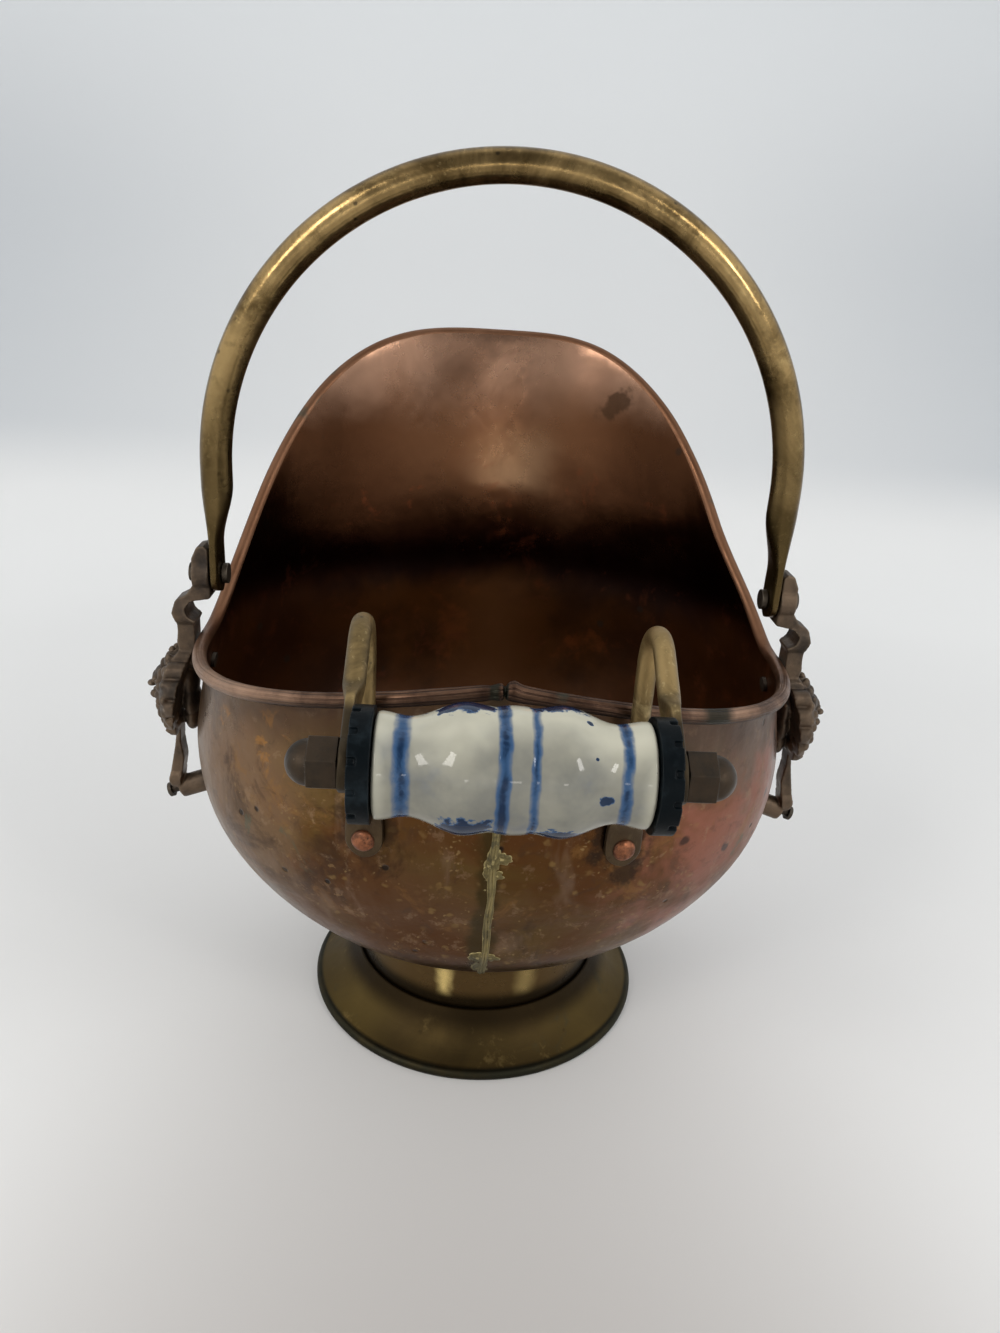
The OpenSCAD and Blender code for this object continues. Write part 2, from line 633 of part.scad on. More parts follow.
module arm_tab() {
    translate([tab_c[0], tab_c[1], arm_rivet_z]) rotate([0, 0, arm_turn]) children();
}

module arm() {
    difference() {
        union() {
            arm_tab() rotate([90, 0, 0])
                cylinder(h = arm_tab_t, d = arm_tab_w, center = true, $fn = round_fn);
            arm_loft();
            translate([arm_x, -grip_y, grip_z]) rotate([0, 90, 0])
                cylinder(h = eye_t, r = eye_r, center = true, $fn = round_fn);
        }
        translate([arm_x, -grip_y, grip_z]) rotate([0, 90, 0])
            cylinder(h = 20, r = eye_bore_r, center = true, $fn = round_fn);
        arm_tab() rotate([90, 0, 0]) cylinder(h = 20, r = tab_bore_r, center = true, $fn = round_fn);
    }
}
module arm_right() {
    color("#7a7040") placed() arm();
}
module arm_left() {
    color("#7a7040") placed() mirror([1, 0, 0]) arm();
}

module arm_rivet() {
    head_h = 1.9;
    head_r = 3.1;
    color("#96664a") placed() arm_tab() rotate([90, 0, 0]) {
        translate([0, 0, -arm_tab_t / 2]) cylinder(h = arm_tab_t + 0.5, d = arm_rivet_d, $fn = round_fn);
        translate([0, 0, arm_tab_t / 2 + slip]) intersection() {
            cylinder(h = head_h, r = head_r, $fn = round_fn);
            translate([0, 0, head_h - 3.6]) sphere(r = 3.6, $fn = 48);
        }
        translate([0, 0, -arm_tab_t / 2 - 2 * fit - sheet_t - 1.4]) cylinder(h = 1.2, r = head_r, $fn = round_fn);
    }
}
module arm_rivet_right() arm_rivet();
module arm_rivet_left() mirror([1, 0, 0]) arm_rivet();

// ---- grip assembly, all on one axis along x ----
ring_in = grip_len / 2 + fit;
nut_in = arm_x + eye_t / 2 + 0.05;
nut_out_r = nut_af / 2 / cos(30);
dome_r = nut_af / 2 - 0.35;

module on_grip_axis() {
    translate([0, -grip_y, grip_z]) rotate([0, 90, 0]) children();
}

// radius along the porcelain: a lip at each end, a neck, a swelling, and a bead between two grooves
grip_neck_r = grip_end_r - 0.9;
function grip_radius(x) =
    let (s = abs(x) / (grip_len / 2))
    s > 0.76 ? mix(grip_neck_r, grip_end_r, smooth((s - 0.76) / 0.2))
    : s > 0.35 ? mix(grip_r, grip_neck_r, smooth((s - 0.35) / 0.41))
    : s > 0.13 ? mix(grip_r - 0.9, grip_r, smooth((s - 0.13) / 0.22))
    : grip_r - 0.9 + 0.5 * pow(cos(90 * s / 0.13), 0.6);
grip_steps = 50;

module porcelain_grip() {
    color("#e8e6da") placed() on_grip_axis() rotate_extrude($fn = 96) polygon(concat(
        [[rod_d / 2 + grip_clear, -grip_len / 2]],
        [for (k = [0:grip_steps]) let (x = mix(-grip_len / 2, grip_len / 2, k / grip_steps))
            [grip_radius(x) - (k == 0 || k == grip_steps ? 0.8 : 0), x]],
        [[rod_d / 2 + grip_clear, grip_len / 2]]));
}

module grip_rod() {
    color("#8b8470") placed() on_grip_axis()
        cylinder(h = 2 * (nut_in + nut_hex - 0.6), d = rod_d, center = true, $fn = round_fn);
}

module end_ring() {
    notch = 0.9;
    translate([0, 0, ring_in]) difference() {
        cylinder(h = ring_w, r = ring_r, $fn = round_fn);
        translate([0, 0, -1]) cylinder(h = ring_w + 2, r = rod_d / 2 + 0.3, $fn = round_fn);
        for (k = [0:11]) rotate([0, 0, 30 * k])
            translate([ring_r - notch, -0.8, ring_w - 2]) cube([3, 1.6, 3]);
    }
}
module ring_right() {
    color("#20262b") placed() on_grip_axis() end_ring();
}
module ring_left() {
    color("#20262b") placed() mirror([1, 0, 0]) on_grip_axis() end_ring();
}

module acorn_nut() {
    on_grip_axis() translate([0, 0, nut_in]) difference() {
        union() {
            intersection() {
                cylinder(h = nut_hex, r = nut_out_r, $fn = 6);
                translate([0, 0, nut_hex / 2]) sphere(r = nut_out_r * 1.13, $fn = 64);
            }
            cylinder(h = nut_hex + 0.4, r = dome_r, $fn = round_fn);
            translate([0, 0, nut_hex]) sphere(r = dome_r, $fn = 64);
        }
        translate([0, 0, -1]) cylinder(h = nut_hex + 1, r = rod_d / 2 + slip, $fn = round_fn);
    }
}
module nut_right() {
    color("#5a4e3e") placed() acorn_nut();
}
module nut_left() {
    color("#5a4e3e") placed() mirror([1, 0, 0]) acorn_nut();
}

body_shell();
rim_wire();
seam_braze();
foot_flare();
foot_drum();
foot_wire();
foot_solder();
ear_left();
ear_right();
ear_rivets_left();
ear_rivets_right();
bail();
bail_pin_left();
bail_pin_right();
arm_left();
arm_right();
arm_rivet_left();
arm_rivet_right();
grip_rod();
porcelain_grip();
ring_left();
ring_right();
nut_left();
nut_right();
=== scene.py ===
import json
import math

import bmesh
import bpy
from mathutils import Matrix, Vector, noise

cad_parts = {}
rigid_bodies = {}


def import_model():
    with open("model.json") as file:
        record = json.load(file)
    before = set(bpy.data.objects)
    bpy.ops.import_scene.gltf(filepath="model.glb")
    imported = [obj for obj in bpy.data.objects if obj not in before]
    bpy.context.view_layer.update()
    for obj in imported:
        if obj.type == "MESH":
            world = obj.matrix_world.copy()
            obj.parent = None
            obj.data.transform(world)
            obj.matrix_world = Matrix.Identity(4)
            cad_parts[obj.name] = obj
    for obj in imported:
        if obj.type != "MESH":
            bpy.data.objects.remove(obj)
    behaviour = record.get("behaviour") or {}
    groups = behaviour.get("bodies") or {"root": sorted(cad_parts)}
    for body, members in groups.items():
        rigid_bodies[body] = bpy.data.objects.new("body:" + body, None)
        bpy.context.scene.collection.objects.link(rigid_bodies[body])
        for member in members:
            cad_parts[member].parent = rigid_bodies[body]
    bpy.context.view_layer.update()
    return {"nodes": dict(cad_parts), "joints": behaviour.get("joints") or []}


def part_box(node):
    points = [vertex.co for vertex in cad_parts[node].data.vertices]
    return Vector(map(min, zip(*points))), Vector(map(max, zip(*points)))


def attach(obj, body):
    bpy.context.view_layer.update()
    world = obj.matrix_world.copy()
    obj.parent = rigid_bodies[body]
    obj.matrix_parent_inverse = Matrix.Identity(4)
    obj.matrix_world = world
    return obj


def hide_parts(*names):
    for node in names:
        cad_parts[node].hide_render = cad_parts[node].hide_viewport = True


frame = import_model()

bl_info = {
    "name": "Coal scuttle",
    "version": (1, 0, 0),
    "blender": (4, 5, 0),
    "location": "3D View > Sidebar > Scuttle",
    "description": "Dresses the frame of a helmet coal scuttle: raised copper, brass, cast ears "
                   "and a porcelain grip",
    "category": "Object",
}

MM = 0.001
JOINTS = {joint["name"]: joint for joint in frame["joints"]}
PIN = Vector(JOINTS["bail_swing"]["pos_m"])
GRIP_AXIS = Vector(JOINTS["grip_spin"]["pos_m"])


def middle(node):
    low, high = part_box(node)
    return (low + high) / 2


FOOT_Y = middle("foot_drum").y
ROLL_GAP = 0.00015       # play between the wire and the sheet rolled over it
SIDEWAYS, FORWARDS, UPWARDS = Vector((1, 0, 0)), Vector((0, 1, 0)), Vector((0, 0, 1))


# ---- small sums ----

def smooth(v):
    c = min(1.0, max(0.0, v))
    return c * c * (3 - 2 * c)


def mix(a, b, t):
    return a + (b - a) * t


def bell(v, width):
    return math.exp(-(v / width) ** 2)


def wander(place, scale, seed=0.0):
    """Smooth noise between about -1 and 1 at a place, with waves 1 / scale long."""
    return noise.noise(Vector(place) * scale + Vector((seed, 2 * seed, 3 * seed)))


# ---- sizes and colours that a user would change ----

def length(name, description, default):
    return bpy.props.FloatProperty(name=name, description=description, default=default,
                                   subtype="DISTANCE", unit="LENGTH", precision=4)


def colour(name, description, default):
    return bpy.props.FloatVectorProperty(name=name, description=description, default=default,
                                         subtype="COLOR", size=3, min=0.0, max=1.0)


class ScuttleBodySizes(bpy.types.PropertyGroup):
    belly_half_width: length("Belly half width", "Half of the greatest width", 0.1)
    belly_reach: length("Belly reach", "Reach of the belly before and behind the foot's axis",
                        0.084)
    belly_height: length("Belly height", "Height of the belly's widest line", 0.109)
    bottom_height: length("Bottom height", "Height of the bowl's lowest point", 0.031)
    rim_half_width: length("Rim half width", "Half width at the low sides of the rim", 0.0965)
    rim_side_height: length("Rim side height", "Height of the rim at its low sides", 0.138)
    rim_back_rise: length("Rim back rise", "Rise of the rim to its peak at the back", 0.019)
    crease_height: length("Crease height", "Height where the bowl turns into the lip", 0.151)
    lip_height: length("Lip height", "Height of the lip", 0.235)
    lip_reach: length("Lip reach", "Reach of the lip in front of the foot's axis", 0.092)
    sheet: length("Sheet", "Thickness of the copper sheet", 0.001)
    wire: length("Rim wire", "Diameter of the wire in the rolled rim", 0.0022)
    unevenness: length("Unevenness", "How far the hand-raised sheet strays from its true form",
                       0.0003)


class ScuttleFootSizes(bpy.types.PropertyGroup):
    radius: length("Radius", "Radius of the foot at the floor", 0.062)
    drum_radius: length("Drum radius", "Outer radius of the drum", 0.045)
    flare_height: length("Flare height", "Height where the flare meets the drum", 0.0155)
    sheet: length("Sheet", "Thickness of the brass sheet", 0.0011)


class ScuttleBailSizes(bpy.types.PropertyGroup):
    bow_radius: length("Bow radius", "Radius of the bow to the tube's centre", 0.092)
    tube: length("Tube", "Diameter of the tube", 0.01)
    leg: length("Leg", "Length of the straight legs above the pins", 0.035)
    tab: length("Tab", "Thickness of the flattened ends", 0.0032)


class ScuttleArmSizes(bpy.types.PropertyGroup):
    rod: length("Rod", "Diameter of the brass rod", 0.0053)
    bend: length("Bend", "Radius of the bend over the rim", 0.012)
    bend_height: length("Bend height", "Height of the bend's centre", 0.167)
    tab_width: length("Tab width", "Width of the flattened tab", 0.011)
    tab_thickness: length("Tab thickness", "Thickness of the flattened tab", 0.0024)
    rivet_height: length("Rivet height", "Height of the rivets in the tabs", 0.1085)
    eye_thickness: length("Eye thickness", "Thickness of the flattened eyes", 0.0026)
    head_radius: length("Rivet head radius", "Radius of the copper rivet heads", 0.0034)
    head_height: length("Rivet head height", "Height of the copper rivet heads", 0.0019)


class ScuttleGripSizes(bpy.types.PropertyGroup):
    length: length("Length", "Length of the porcelain", 0.06)
    radius: length("Radius", "Radius at the two swellings", 0.0145)
    end_radius: length("End radius", "Radius at the ends", 0.0118)
    bore: length("Bore", "Radius of the hole for the rod", 0.003255)


class ScuttleFinish(bpy.types.PropertyGroup):
    copper_brown: colour("Copper brown", "Main brown of the patina", (0.112, 0.046, 0.015))
    copper_olive: colour("Copper olive", "Olive and gold clouds in the patina",
                         (0.125, 0.072, 0.02))
    # copper rose also lies over the body's right side, where it is partly a painted sheen
    copper_rose: colour("Copper rose", "Pink brown where the patina is thin", (0.27, 0.105, 0.068))
    rim_rose: colour("Rim rose", "Pink brown of the rolled rim", (0.36, 0.22, 0.145))
    lip_inside: colour("Lip inside", "Inside of the lip", (0.13, 0.057, 0.026))
    bowl_inside: colour("Bowl inside", "Dark inside of the bowl", (0.088, 0.028, 0.004))
    foot_brass: colour("Foot brass", "Olive brass of the foot", (0.098, 0.065, 0.019))
    bail_brass: colour("Bail brass", "Olive brass of the bail", (0.35, 0.235, 0.098))
    arm_brass: colour("Arm brass", "Khaki brass of the arms", (0.3, 0.205, 0.085))
    cast_brown: colour("Cast brown", "Dark brown of the ears", (0.13, 0.088, 0.056))
    glaze: colour("Glaze", "White of the glaze", (0.26, 0.252, 0.205))
    cobalt: colour("Cobalt", "Blue of the bands", (0.002, 0.016, 0.05))
    ring_black: colour("Ring black", "Blue black of the end rings", (0.0018, 0.0036, 0.0048))
    nut_bronze: colour("Nut bronze", "Dull bronze of the nuts", (0.048, 0.033, 0.021))


class ScuttleStage(bpy.types.PropertyGroup):
    floor: colour("Floor", "Colour of the floor and the wall", (0.88, 0.875, 0.862))
    window_power: bpy.props.FloatProperty(name="Windows",
                                          description="Power of each of the two high lamps",
                                          default=3.2, unit="POWER")
    low_power: bpy.props.FloatProperty(name="Low lamp",
                                       description="Power of the small lamp behind the camera",
                                       default=0.6, unit="POWER")
    sky: bpy.props.FloatProperty(name="Sky", description="Strength of the light from all round",
                                 default=1.12)
    lens: bpy.props.FloatProperty(name="Lens", description="Focal length in millimetres",
                                  default=27.0)


# ---- making and seating pieces ----

def new_object(name, points, faces, finishes=(), marks=None):
    mesh = bpy.data.meshes.new(name)
    mesh.from_pydata([tuple(p) for p in points], [], faces)
    for finish in finishes:
        mesh.materials.append(finish)
    if marks:
        mesh.polygons.foreach_set("material_index", marks)
    mesh.shade_smooth()
    mesh.update()
    made = bpy.data.objects.new(name, mesh)
    bpy.context.scene.collection.objects.link(made)
    return made


def seat(piece, body, slot, *nodes):
    """The piece rides on a body and stands for the named nodes, which are hidden. The slot is not
    used.
    """
    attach(piece, body)
    if nodes:
        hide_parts(*nodes)
    return piece


def skin(rows, count, loop_rows=False):
    """Faces over rows of points, each row a closed ring of count points."""
    last = rows if loop_rows else rows - 1
    faces = []
    for j in range(last):
        low, high = j * count, (j + 1) % rows * count
        for i in range(count):
            k = (i + 1) % count
            faces.append((low + i, low + k, high + k, high + i))
    return faces


def tidy(mesh, merge=1e-6):
    """Merges doubles, points every face outwards and shades smooth."""
    shape = bmesh.new()
    shape.from_mesh(mesh)
    if merge:
        bmesh.ops.remove_doubles(shape, verts=shape.verts, dist=merge)
    bmesh.ops.recalc_face_normals(shape, faces=shape.faces)
    shape.to_mesh(mesh)
    shape.free()
    mesh.shade_smooth()


def baked(source, name):
    """A plain mesh object from a source with modifiers, which is then removed."""
    seen = source.evaluated_get(bpy.context.evaluated_depsgraph_get())
    mesh = bpy.data.meshes.new_from_object(seen)
    mesh.name = name
    made = bpy.data.objects.new(name, mesh)
    bpy.context.scene.collection.objects.link(made)
    bpy.data.objects.remove(source)
    return made


def lathe(name, profile, axis_point, axis, steps, finishes):
    """Turns a closed profile of (radius, height) points about an axis."""
    axis = Vector(axis).normalized()
    across = axis.orthogonal().normalized()
    side = axis.cross(across)
    points = []
    for k in range(steps):
        turn = 2 * math.pi * k / steps
        out = math.cos(turn) * across + math.sin(turn) * side
        points += [Vector(axis_point) + radius * out + height * axis for radius, height in profile]
    made = new_object(name, points, skin(steps, len(profile), True), finishes)
    tidy(made.data)
    return made


def capped_loft(name, rings, finishes):
    count = len(rings[0])
    points = [p for ring in rings for p in ring]
    faces = skin(len(rings), count)
    faces.append(tuple(range(count - 1, -1, -1)))
    faces.append(tuple((len(rings) - 1) * count + i for i in range(count)))
    made = new_object(name, points, faces, finishes)
    tidy(made.data)
    return made


def section(centre, across, through, half_across, half_through, squareness, sides):
    """A ring of points, round at squareness 2 and nearly a rectangle at 6."""
    ring = []
    for k in range(sides):
        turn = 2 * math.pi * (k + 0.5) / sides
        x, y = math.cos(turn), math.sin(turn)
        ring.append(centre + half_across * math.copysign(abs(x) ** (2 / squareness), x) * across
                    + half_through * math.copysign(abs(y) ** (2 / squareness), y) * through)
    return ring


def bored(piece, cutters):
    """Cuts round holes, each given as a centre, an axis, a radius and a depth."""
    for centre, axis, radius, depth in cutters:
        bpy.ops.mesh.primitive_cylinder_add(vertices=48, radius=radius, depth=depth)
        cutter = bpy.context.object
        turn = Vector(axis).to_track_quat("Z", "Y").to_matrix().to_4x4()
        cutter.data.transform(Matrix.Translation(centre) @ turn)
        cutter.matrix_world = Matrix.Identity(4)
        cut = piece.modifiers.new("bore", "BOOLEAN")
        cut.operation, cut.solver, cut.object = "DIFFERENCE", "EXACT", cutter
        name = piece.name
        piece = baked(piece, name + "_bored")
        piece.name = name
        bpy.data.objects.remove(cutter)
    piece.data.shade_smooth()
    return piece


def softened(name, node, grain, finish, rounds=2, extra=(), pressed=None):
    """The node's own shape with its edges worn round: a merged copy and any extra lumps, as one
    skin."""
    copy = bpy.data.objects.new(name + "_raw", frame["nodes"][node].data.copy())
    bpy.context.scene.collection.objects.link(copy)
    copy.data.materials.clear()
    tidy(copy.data, 2e-6)
    shape = bmesh.new()
    shape.from_mesh(copy.data)
    if pressed:
        for point in shape.verts:
            point.co = pressed(point.co)
    for lump in extra:
        shape.from_mesh(lump.data)
        bpy.data.objects.remove(lump)
    shape.to_mesh(copy.data)
    shape.free()
    remesh = copy.modifiers.new("skin", "REMESH")
    remesh.mode, remesh.voxel_size = "VOXEL", grain
    relax = copy.modifiers.new("wear", "SMOOTH")
    relax.factor, relax.iterations = 0.5, rounds
    made = baked(copy, name)
    made.data.materials.clear()
    made.data.materials.append(finish)
    made.data.shade_smooth()
    return made


# ---- geometry node trees ----

class NodeTree:
    """A geometry node tree with named inputs, built a node at a time."""

    def __init__(self, name, inputs):
        self.tree = bpy.data.node_groups.new(name, "GeometryNodeTree")
        sockets = self.tree.interface
        sockets.new_socket("Geometry", in_out="INPUT", socket_type="NodeSocketGeometry")
        self.ids = {}
        for label, kind, default in (*inputs, ("Finish", "Material", None)):
            made = sockets.new_socket(label, in_out="INPUT", socket_type="NodeSocket" + kind)
            if default is not None:
                made.default_value = default
            self.ids[label] = made.identifier
        sockets.new_socket("Geometry", in_out="OUTPUT", socket_type="NodeSocketGeometry")
        self.start = self.tree.nodes.new("NodeGroupInput")
        self.end = self.tree.nodes.new("NodeGroupOutput")

    def __getitem__(self, label):
        return self.start.outputs[label]

    def add(self, kind, settings=None, first=(), **inputs):
        """Adds a node with its settings, its first inputs in order, and others by name."""
        made = self.tree.nodes.new(kind)
        for key, value in (settings or {}).items():
            setattr(made, key, value)
        for socket, value in zip(made.inputs, first):
            self.feed(socket, value)
        for key, value in inputs.items():
            self.feed(made.inputs[key.replace("_", " ")], value)
        return made

    def feed(self, socket, value):
        if isinstance(value, bpy.types.NodeSocket):
            self.tree.links.new(value, socket)
        elif isinstance(value, bpy.types.Node):
            self.tree.links.new(value.outputs[0], socket)
        else:
            socket.default_value = value

    def finish(self, geometry):
        real = self.add("GeometryNodeRealizeInstances", Geometry=geometry)
        even = self.add("GeometryNodeSetShadeSmooth", Geometry=real)
        painted = self.add("GeometryNodeSetMaterial", Geometry=even, Material=self["Finish"])
        self.tree.links.new(painted.outputs[0], self.end.inputs[0])
        return self

    def run(self, source, name, **values):
        grown = source.modifiers.new("grow", "NODES")
        grown.node_group = self.tree
        for label, value in values.items():
            grown[self.ids[label]] = value
        return baked(source, name)


def heads_tree():
    """A domed rivet head on every point, facing the way the point's facing attribute says."""
    tree = NodeTree("Rivet heads", (
        ("Radius", "Float", 0.003), ("Height", "Float", 0.0018), ("Unevenness", "Float", 0.0001)))
    ball = tree.add("GeometryNodeMeshUVSphere", Segments=40, Rings=28, Radius=1.0)
    parts = tree.add("ShaderNodeSeparateXYZ", Vector=tree.add("GeometryNodeInputPosition"))
    # everything under the head's seat is pulled up to a short rounded edge
    low = tree.add("ShaderNodeMath", {"operation": "MAXIMUM"}, (parts.outputs[2], -0.12))
    put = tree.add("ShaderNodeCombineXYZ", None, (parts.outputs[0], parts.outputs[1], low))
    dome = tree.add("GeometryNodeSetPosition", Geometry=ball, Position=put)
    size = tree.add("ShaderNodeCombineXYZ", None, (tree["Radius"], tree["Radius"], tree["Height"]))
    facing = tree.add("GeometryNodeInputNamedAttribute", {"data_type": "FLOAT_VECTOR"},
                      Name="facing")
    turned = tree.add("FunctionNodeAlignRotationToVector", {"axis": "Z"},
                      Vector=facing.outputs["Attribute"])
    placed = tree.add("GeometryNodeInstanceOnPoints", Points=tree["Geometry"], Instance=dome,
                      Rotation=turned, Scale=size)
    real = tree.add("GeometryNodeRealizeInstances", Geometry=placed)
    grain = tree.add("ShaderNodeTexNoise", Scale=420.0, Detail=2.0)
    centred = tree.add("ShaderNodeVectorMath", {"operation": "SUBTRACT"},
                       (grain.outputs["Color"], (0.5, 0.5, 0.5)))
    push = tree.add("ShaderNodeVectorMath", {"operation": "SCALE"}, (centred,),
                    Scale=tree["Unevenness"])
    return tree.finish(tree.add("GeometryNodeSetPosition", Geometry=real, Offset=push))


def locks_tree():
    """Tapered locks that stand out round a centre, one on each point of a ring."""
    tree = NodeTree("Mane locks", (
        ("Count", "Int", 13), ("Ring", "Float", 0.0105), ("Width", "Float", 0.0022),
        ("Reach", "Float", 0.0036), ("Rise", "Float", 0.0018)))
    ring = tree.add("GeometryNodeMeshCircle", Vertices=tree["Count"], Radius=tree["Ring"])
    out = tree.add("FunctionNodeAlignRotationToVector", {"axis": "X"},
                   Vector=tree.add("GeometryNodeInputPosition"))
    lock = tree.add("GeometryNodeMeshUVSphere", Segments=16, Rings=10, Radius=1.0)
    size = tree.add("ShaderNodeCombineXYZ", None, (tree["Reach"], tree["Width"], tree["Rise"]))
    return tree.finish(tree.add("GeometryNodeInstanceOnPoints", Points=ring, Instance=lock,
                                Rotation=out, Scale=size))


def wire_tree():
    """A round wire along a closed line of points."""
    tree = NodeTree("Wire", (("Radius", "Float", 0.001),))
    line = tree.add("GeometryNodeMeshToCurve", Mesh=tree["Geometry"])
    ring = tree.add("GeometryNodeCurvePrimitiveCircle", Resolution=14)
    tree.feed(ring.inputs["Radius"], tree["Radius"])
    return tree.finish(tree.add("GeometryNodeCurveToMesh", Curve=line, Profile_Curve=ring))


def beads_tree():
    """Small flattened drops scattered over a strip, as brazing metal leaves them."""
    tree = NodeTree("Braze drops", (("Density", "Float", 90000.0), ("Smallest", "Float", 0.00025),
                                    ("Largest", "Float", 0.0009)))
    strewn = tree.add("GeometryNodeDistributePointsOnFaces", Mesh=tree["Geometry"],
                      Density=tree["Density"], Seed=7)
    drop = tree.add("GeometryNodeMeshUVSphere", Segments=12, Rings=8, Radius=1.0)
    width = tree.add("FunctionNodeRandomValue", {"data_type": "FLOAT"}, Seed=11)
    tree.feed(width.inputs[2], tree["Smallest"])
    tree.feed(width.inputs[3], tree["Largest"])
    across = width.outputs[1]
    flat = tree.add("ShaderNodeMath", {"operation": "MULTIPLY"}, (across, 0.45))
    size = tree.add("ShaderNodeCombineXYZ", None, (across, across, flat))
    return tree.finish(tree.add("GeometryNodeInstanceOnPoints", Points=strewn.outputs["Points"],
                                Instance=drop, Rotation=strewn.outputs["Rotation"], Scale=size))


# ---- finishes ----

class Value:
    """A socket of a material, which sums can be written with as with a number."""

    def __init__(self, finish, socket):
        self.finish, self.socket = finish, socket

    def __add__(self, other):
        return self.finish.sum("ADD", self, other)

    def __sub__(self, other):
        return self.finish.sum("SUBTRACT", self, other)

    def __rsub__(self, other):
        return self.finish.sum("SUBTRACT", other, self)

    def __mul__(self, other):
        return self.finish.sum("MULTIPLY", self, other)

    def __truediv__(self, other):
        return self.finish.sum("DIVIDE", self, other)

    def __pow__(self, other):
        return self.finish.sum("POWER", self, other)

    def __abs__(self):
        return self.finish.sum("ABSOLUTE", self)

    def beside(self, output):
        """Another output of the same node."""
        return Value(self.finish, self.socket.node.outputs[output])


class Finish:
    """A material built a node at a time; every pattern reads Object coordinates."""

    def __init__(self, name):
        self.material = bpy.data.materials.new(name)
        self.material.use_nodes = True
        self.tree = self.material.node_tree
        self.tree.nodes.clear()
        self.place = self.node("ShaderNodeTexCoord", "Object")

    def node(self, kind, output=0, inputs=None, **settings):
        """Adds a node with its settings and inputs, and gives one of its outputs."""
        made = self.tree.nodes.new(kind)
        for key, value in settings.items():
            setattr(made, key, value)
        for key, value in (inputs or {}).items():
            self.feed(made.inputs[key], value)
        return Value(self, made.outputs[output])

    def feed(self, socket, value):
        if isinstance(value, Value):
            self.tree.links.new(value.socket, socket)
        elif hasattr(value, "__len__"):
            four = len(socket.default_value) == 4
            socket.default_value = (*value[:3], 1.0) if four else value[:3]
        else:
            socket.default_value = value

    def stretched(self, x, y, z):
        return self.node("ShaderNodeMapping", 0, {"Vector": self.place, "Scale": (x, y, z)})

    def bent(self, much, scale):
        """Object coordinates pushed about by noise, so that cells lose their roundness."""
        push = self.node("ShaderNodeTexNoise", "Color",
                         {"Vector": self.place, "Scale": scale, "Detail": 3.0})
        push = self.node("ShaderNodeVectorMath", 0, {0: push, "Scale": much}, operation="SCALE")
        return self.node("ShaderNodeVectorMath", 0, {0: self.place, 1: push}, operation="ADD")

    def noise(self, scale, detail=4.0, roughness=0.55, distortion=0.0, at=None):
        return self.node("ShaderNodeTexNoise", "Fac", {
            "Vector": at or self.place, "Scale": scale, "Detail": detail,
            "Roughness": roughness, "Distortion": distortion})

    def cells(self, scale, at=None):
        return self.node("ShaderNodeTexVoronoi", "Distance",
                         {"Vector": at or self.place, "Scale": scale})

    def steps(self, value, low, high, out_low=0.0, out_high=1.0):
        """A smooth step: out_low where the value is low, out_high where it is high."""
        return self.node("ShaderNodeMapRange", 0, {
            "Value": value, "From Min": low, "From Max": high, "To Min": out_low,
            "To Max": out_high}, interpolation_type="SMOOTHSTEP")

    def between(self, low, high, *noise):
        """Noise spread out between two values."""
        return self.steps(self.noise(*noise), 0.3, 0.7, low, high)

    def sum(self, kind, a, b=0.0, clamp=False):
        return self.node("ShaderNodeMath", 0, {0: a, 1: b}, operation=kind, use_clamp=clamp)

    def blend(self, amount, a, b, kind="MIX"):
        return self.node("ShaderNodeMix", 2, {0: amount, 6: a, 7: b},
                         data_type="RGBA", blend_type=kind)

    def patches(self, color, *rows):
        """Cloudy patches over a colour. A row holds a noise, where it starts and is full, how much
        of the patch shows, and its tone."""
        for noise, low, high, much, tone in rows:
            color = self.blend(self.steps(self.noise(*noise), low, high, 0.0, much), color, tone)
        return color

    def oval(self, x, z, at_x, at_z, half_x, half_z):
        """How far a place is from an oval's middle: 1 on its edge."""
        u, v = (x - at_x) / half_x, (z - at_z) / half_z
        return self.sum("SQRT", u * u + v * v)

    def xyz(self):
        x = self.node("ShaderNodeSeparateXYZ", 0, {0: self.place})
        return x, x.beside(1), x.beside(2)

    def edges(self, low, high):
        return self.steps(self.node("ShaderNodeNewGeometry", "Pointiness"), low, high)

    def bump(self, height, depth):
        return self.node("ShaderNodeBump", 0, {"Strength": 1.0, "Distance": depth,
                                               "Height": height})

    def surface(self, color, roughness, metallic=0.0, normal=None, **constants):
        inputs = {"Base Color": color, "Roughness": roughness, "Metallic": metallic}
        if normal:
            inputs["Normal"] = normal
        inputs.update((label.replace("_", " "), value) for label, value in constants.items())
        shader = self.node("ShaderNodeBsdfPrincipled", 0, inputs)
        out = self.tree.nodes.new("ShaderNodeOutputMaterial")
        self.tree.links.new(shader.socket, out.inputs["Surface"])
        return self.material


def tones():
    return bpy.context.scene.scuttle_finish


def spot(f, *oval):
    """1 inside a ragged oval, 0 outside it."""
    ragged = 0.35
    away = f.oval(*oval) + f.between(-ragged, ragged, 210, 3, 0.6)
    return f.steps(away, 1 + ragged, 1 - ragged)


# dark places on the back, dirt, with painted shadow in the halos round the arms' tabs: across, up,
# half across, half up, strength
DIRT_AND_SHADE = ((-0.0365, 0.1105, 0.0082, 0.0095, 0.65), (0.0355, 0.1105, 0.0092, 0.0095, 0.85),
        (0.0392, 0.0985, 0.0045, 0.0042, 0.8), (-0.0085, 0.1475, 0.005, 0.0026, 0.9))


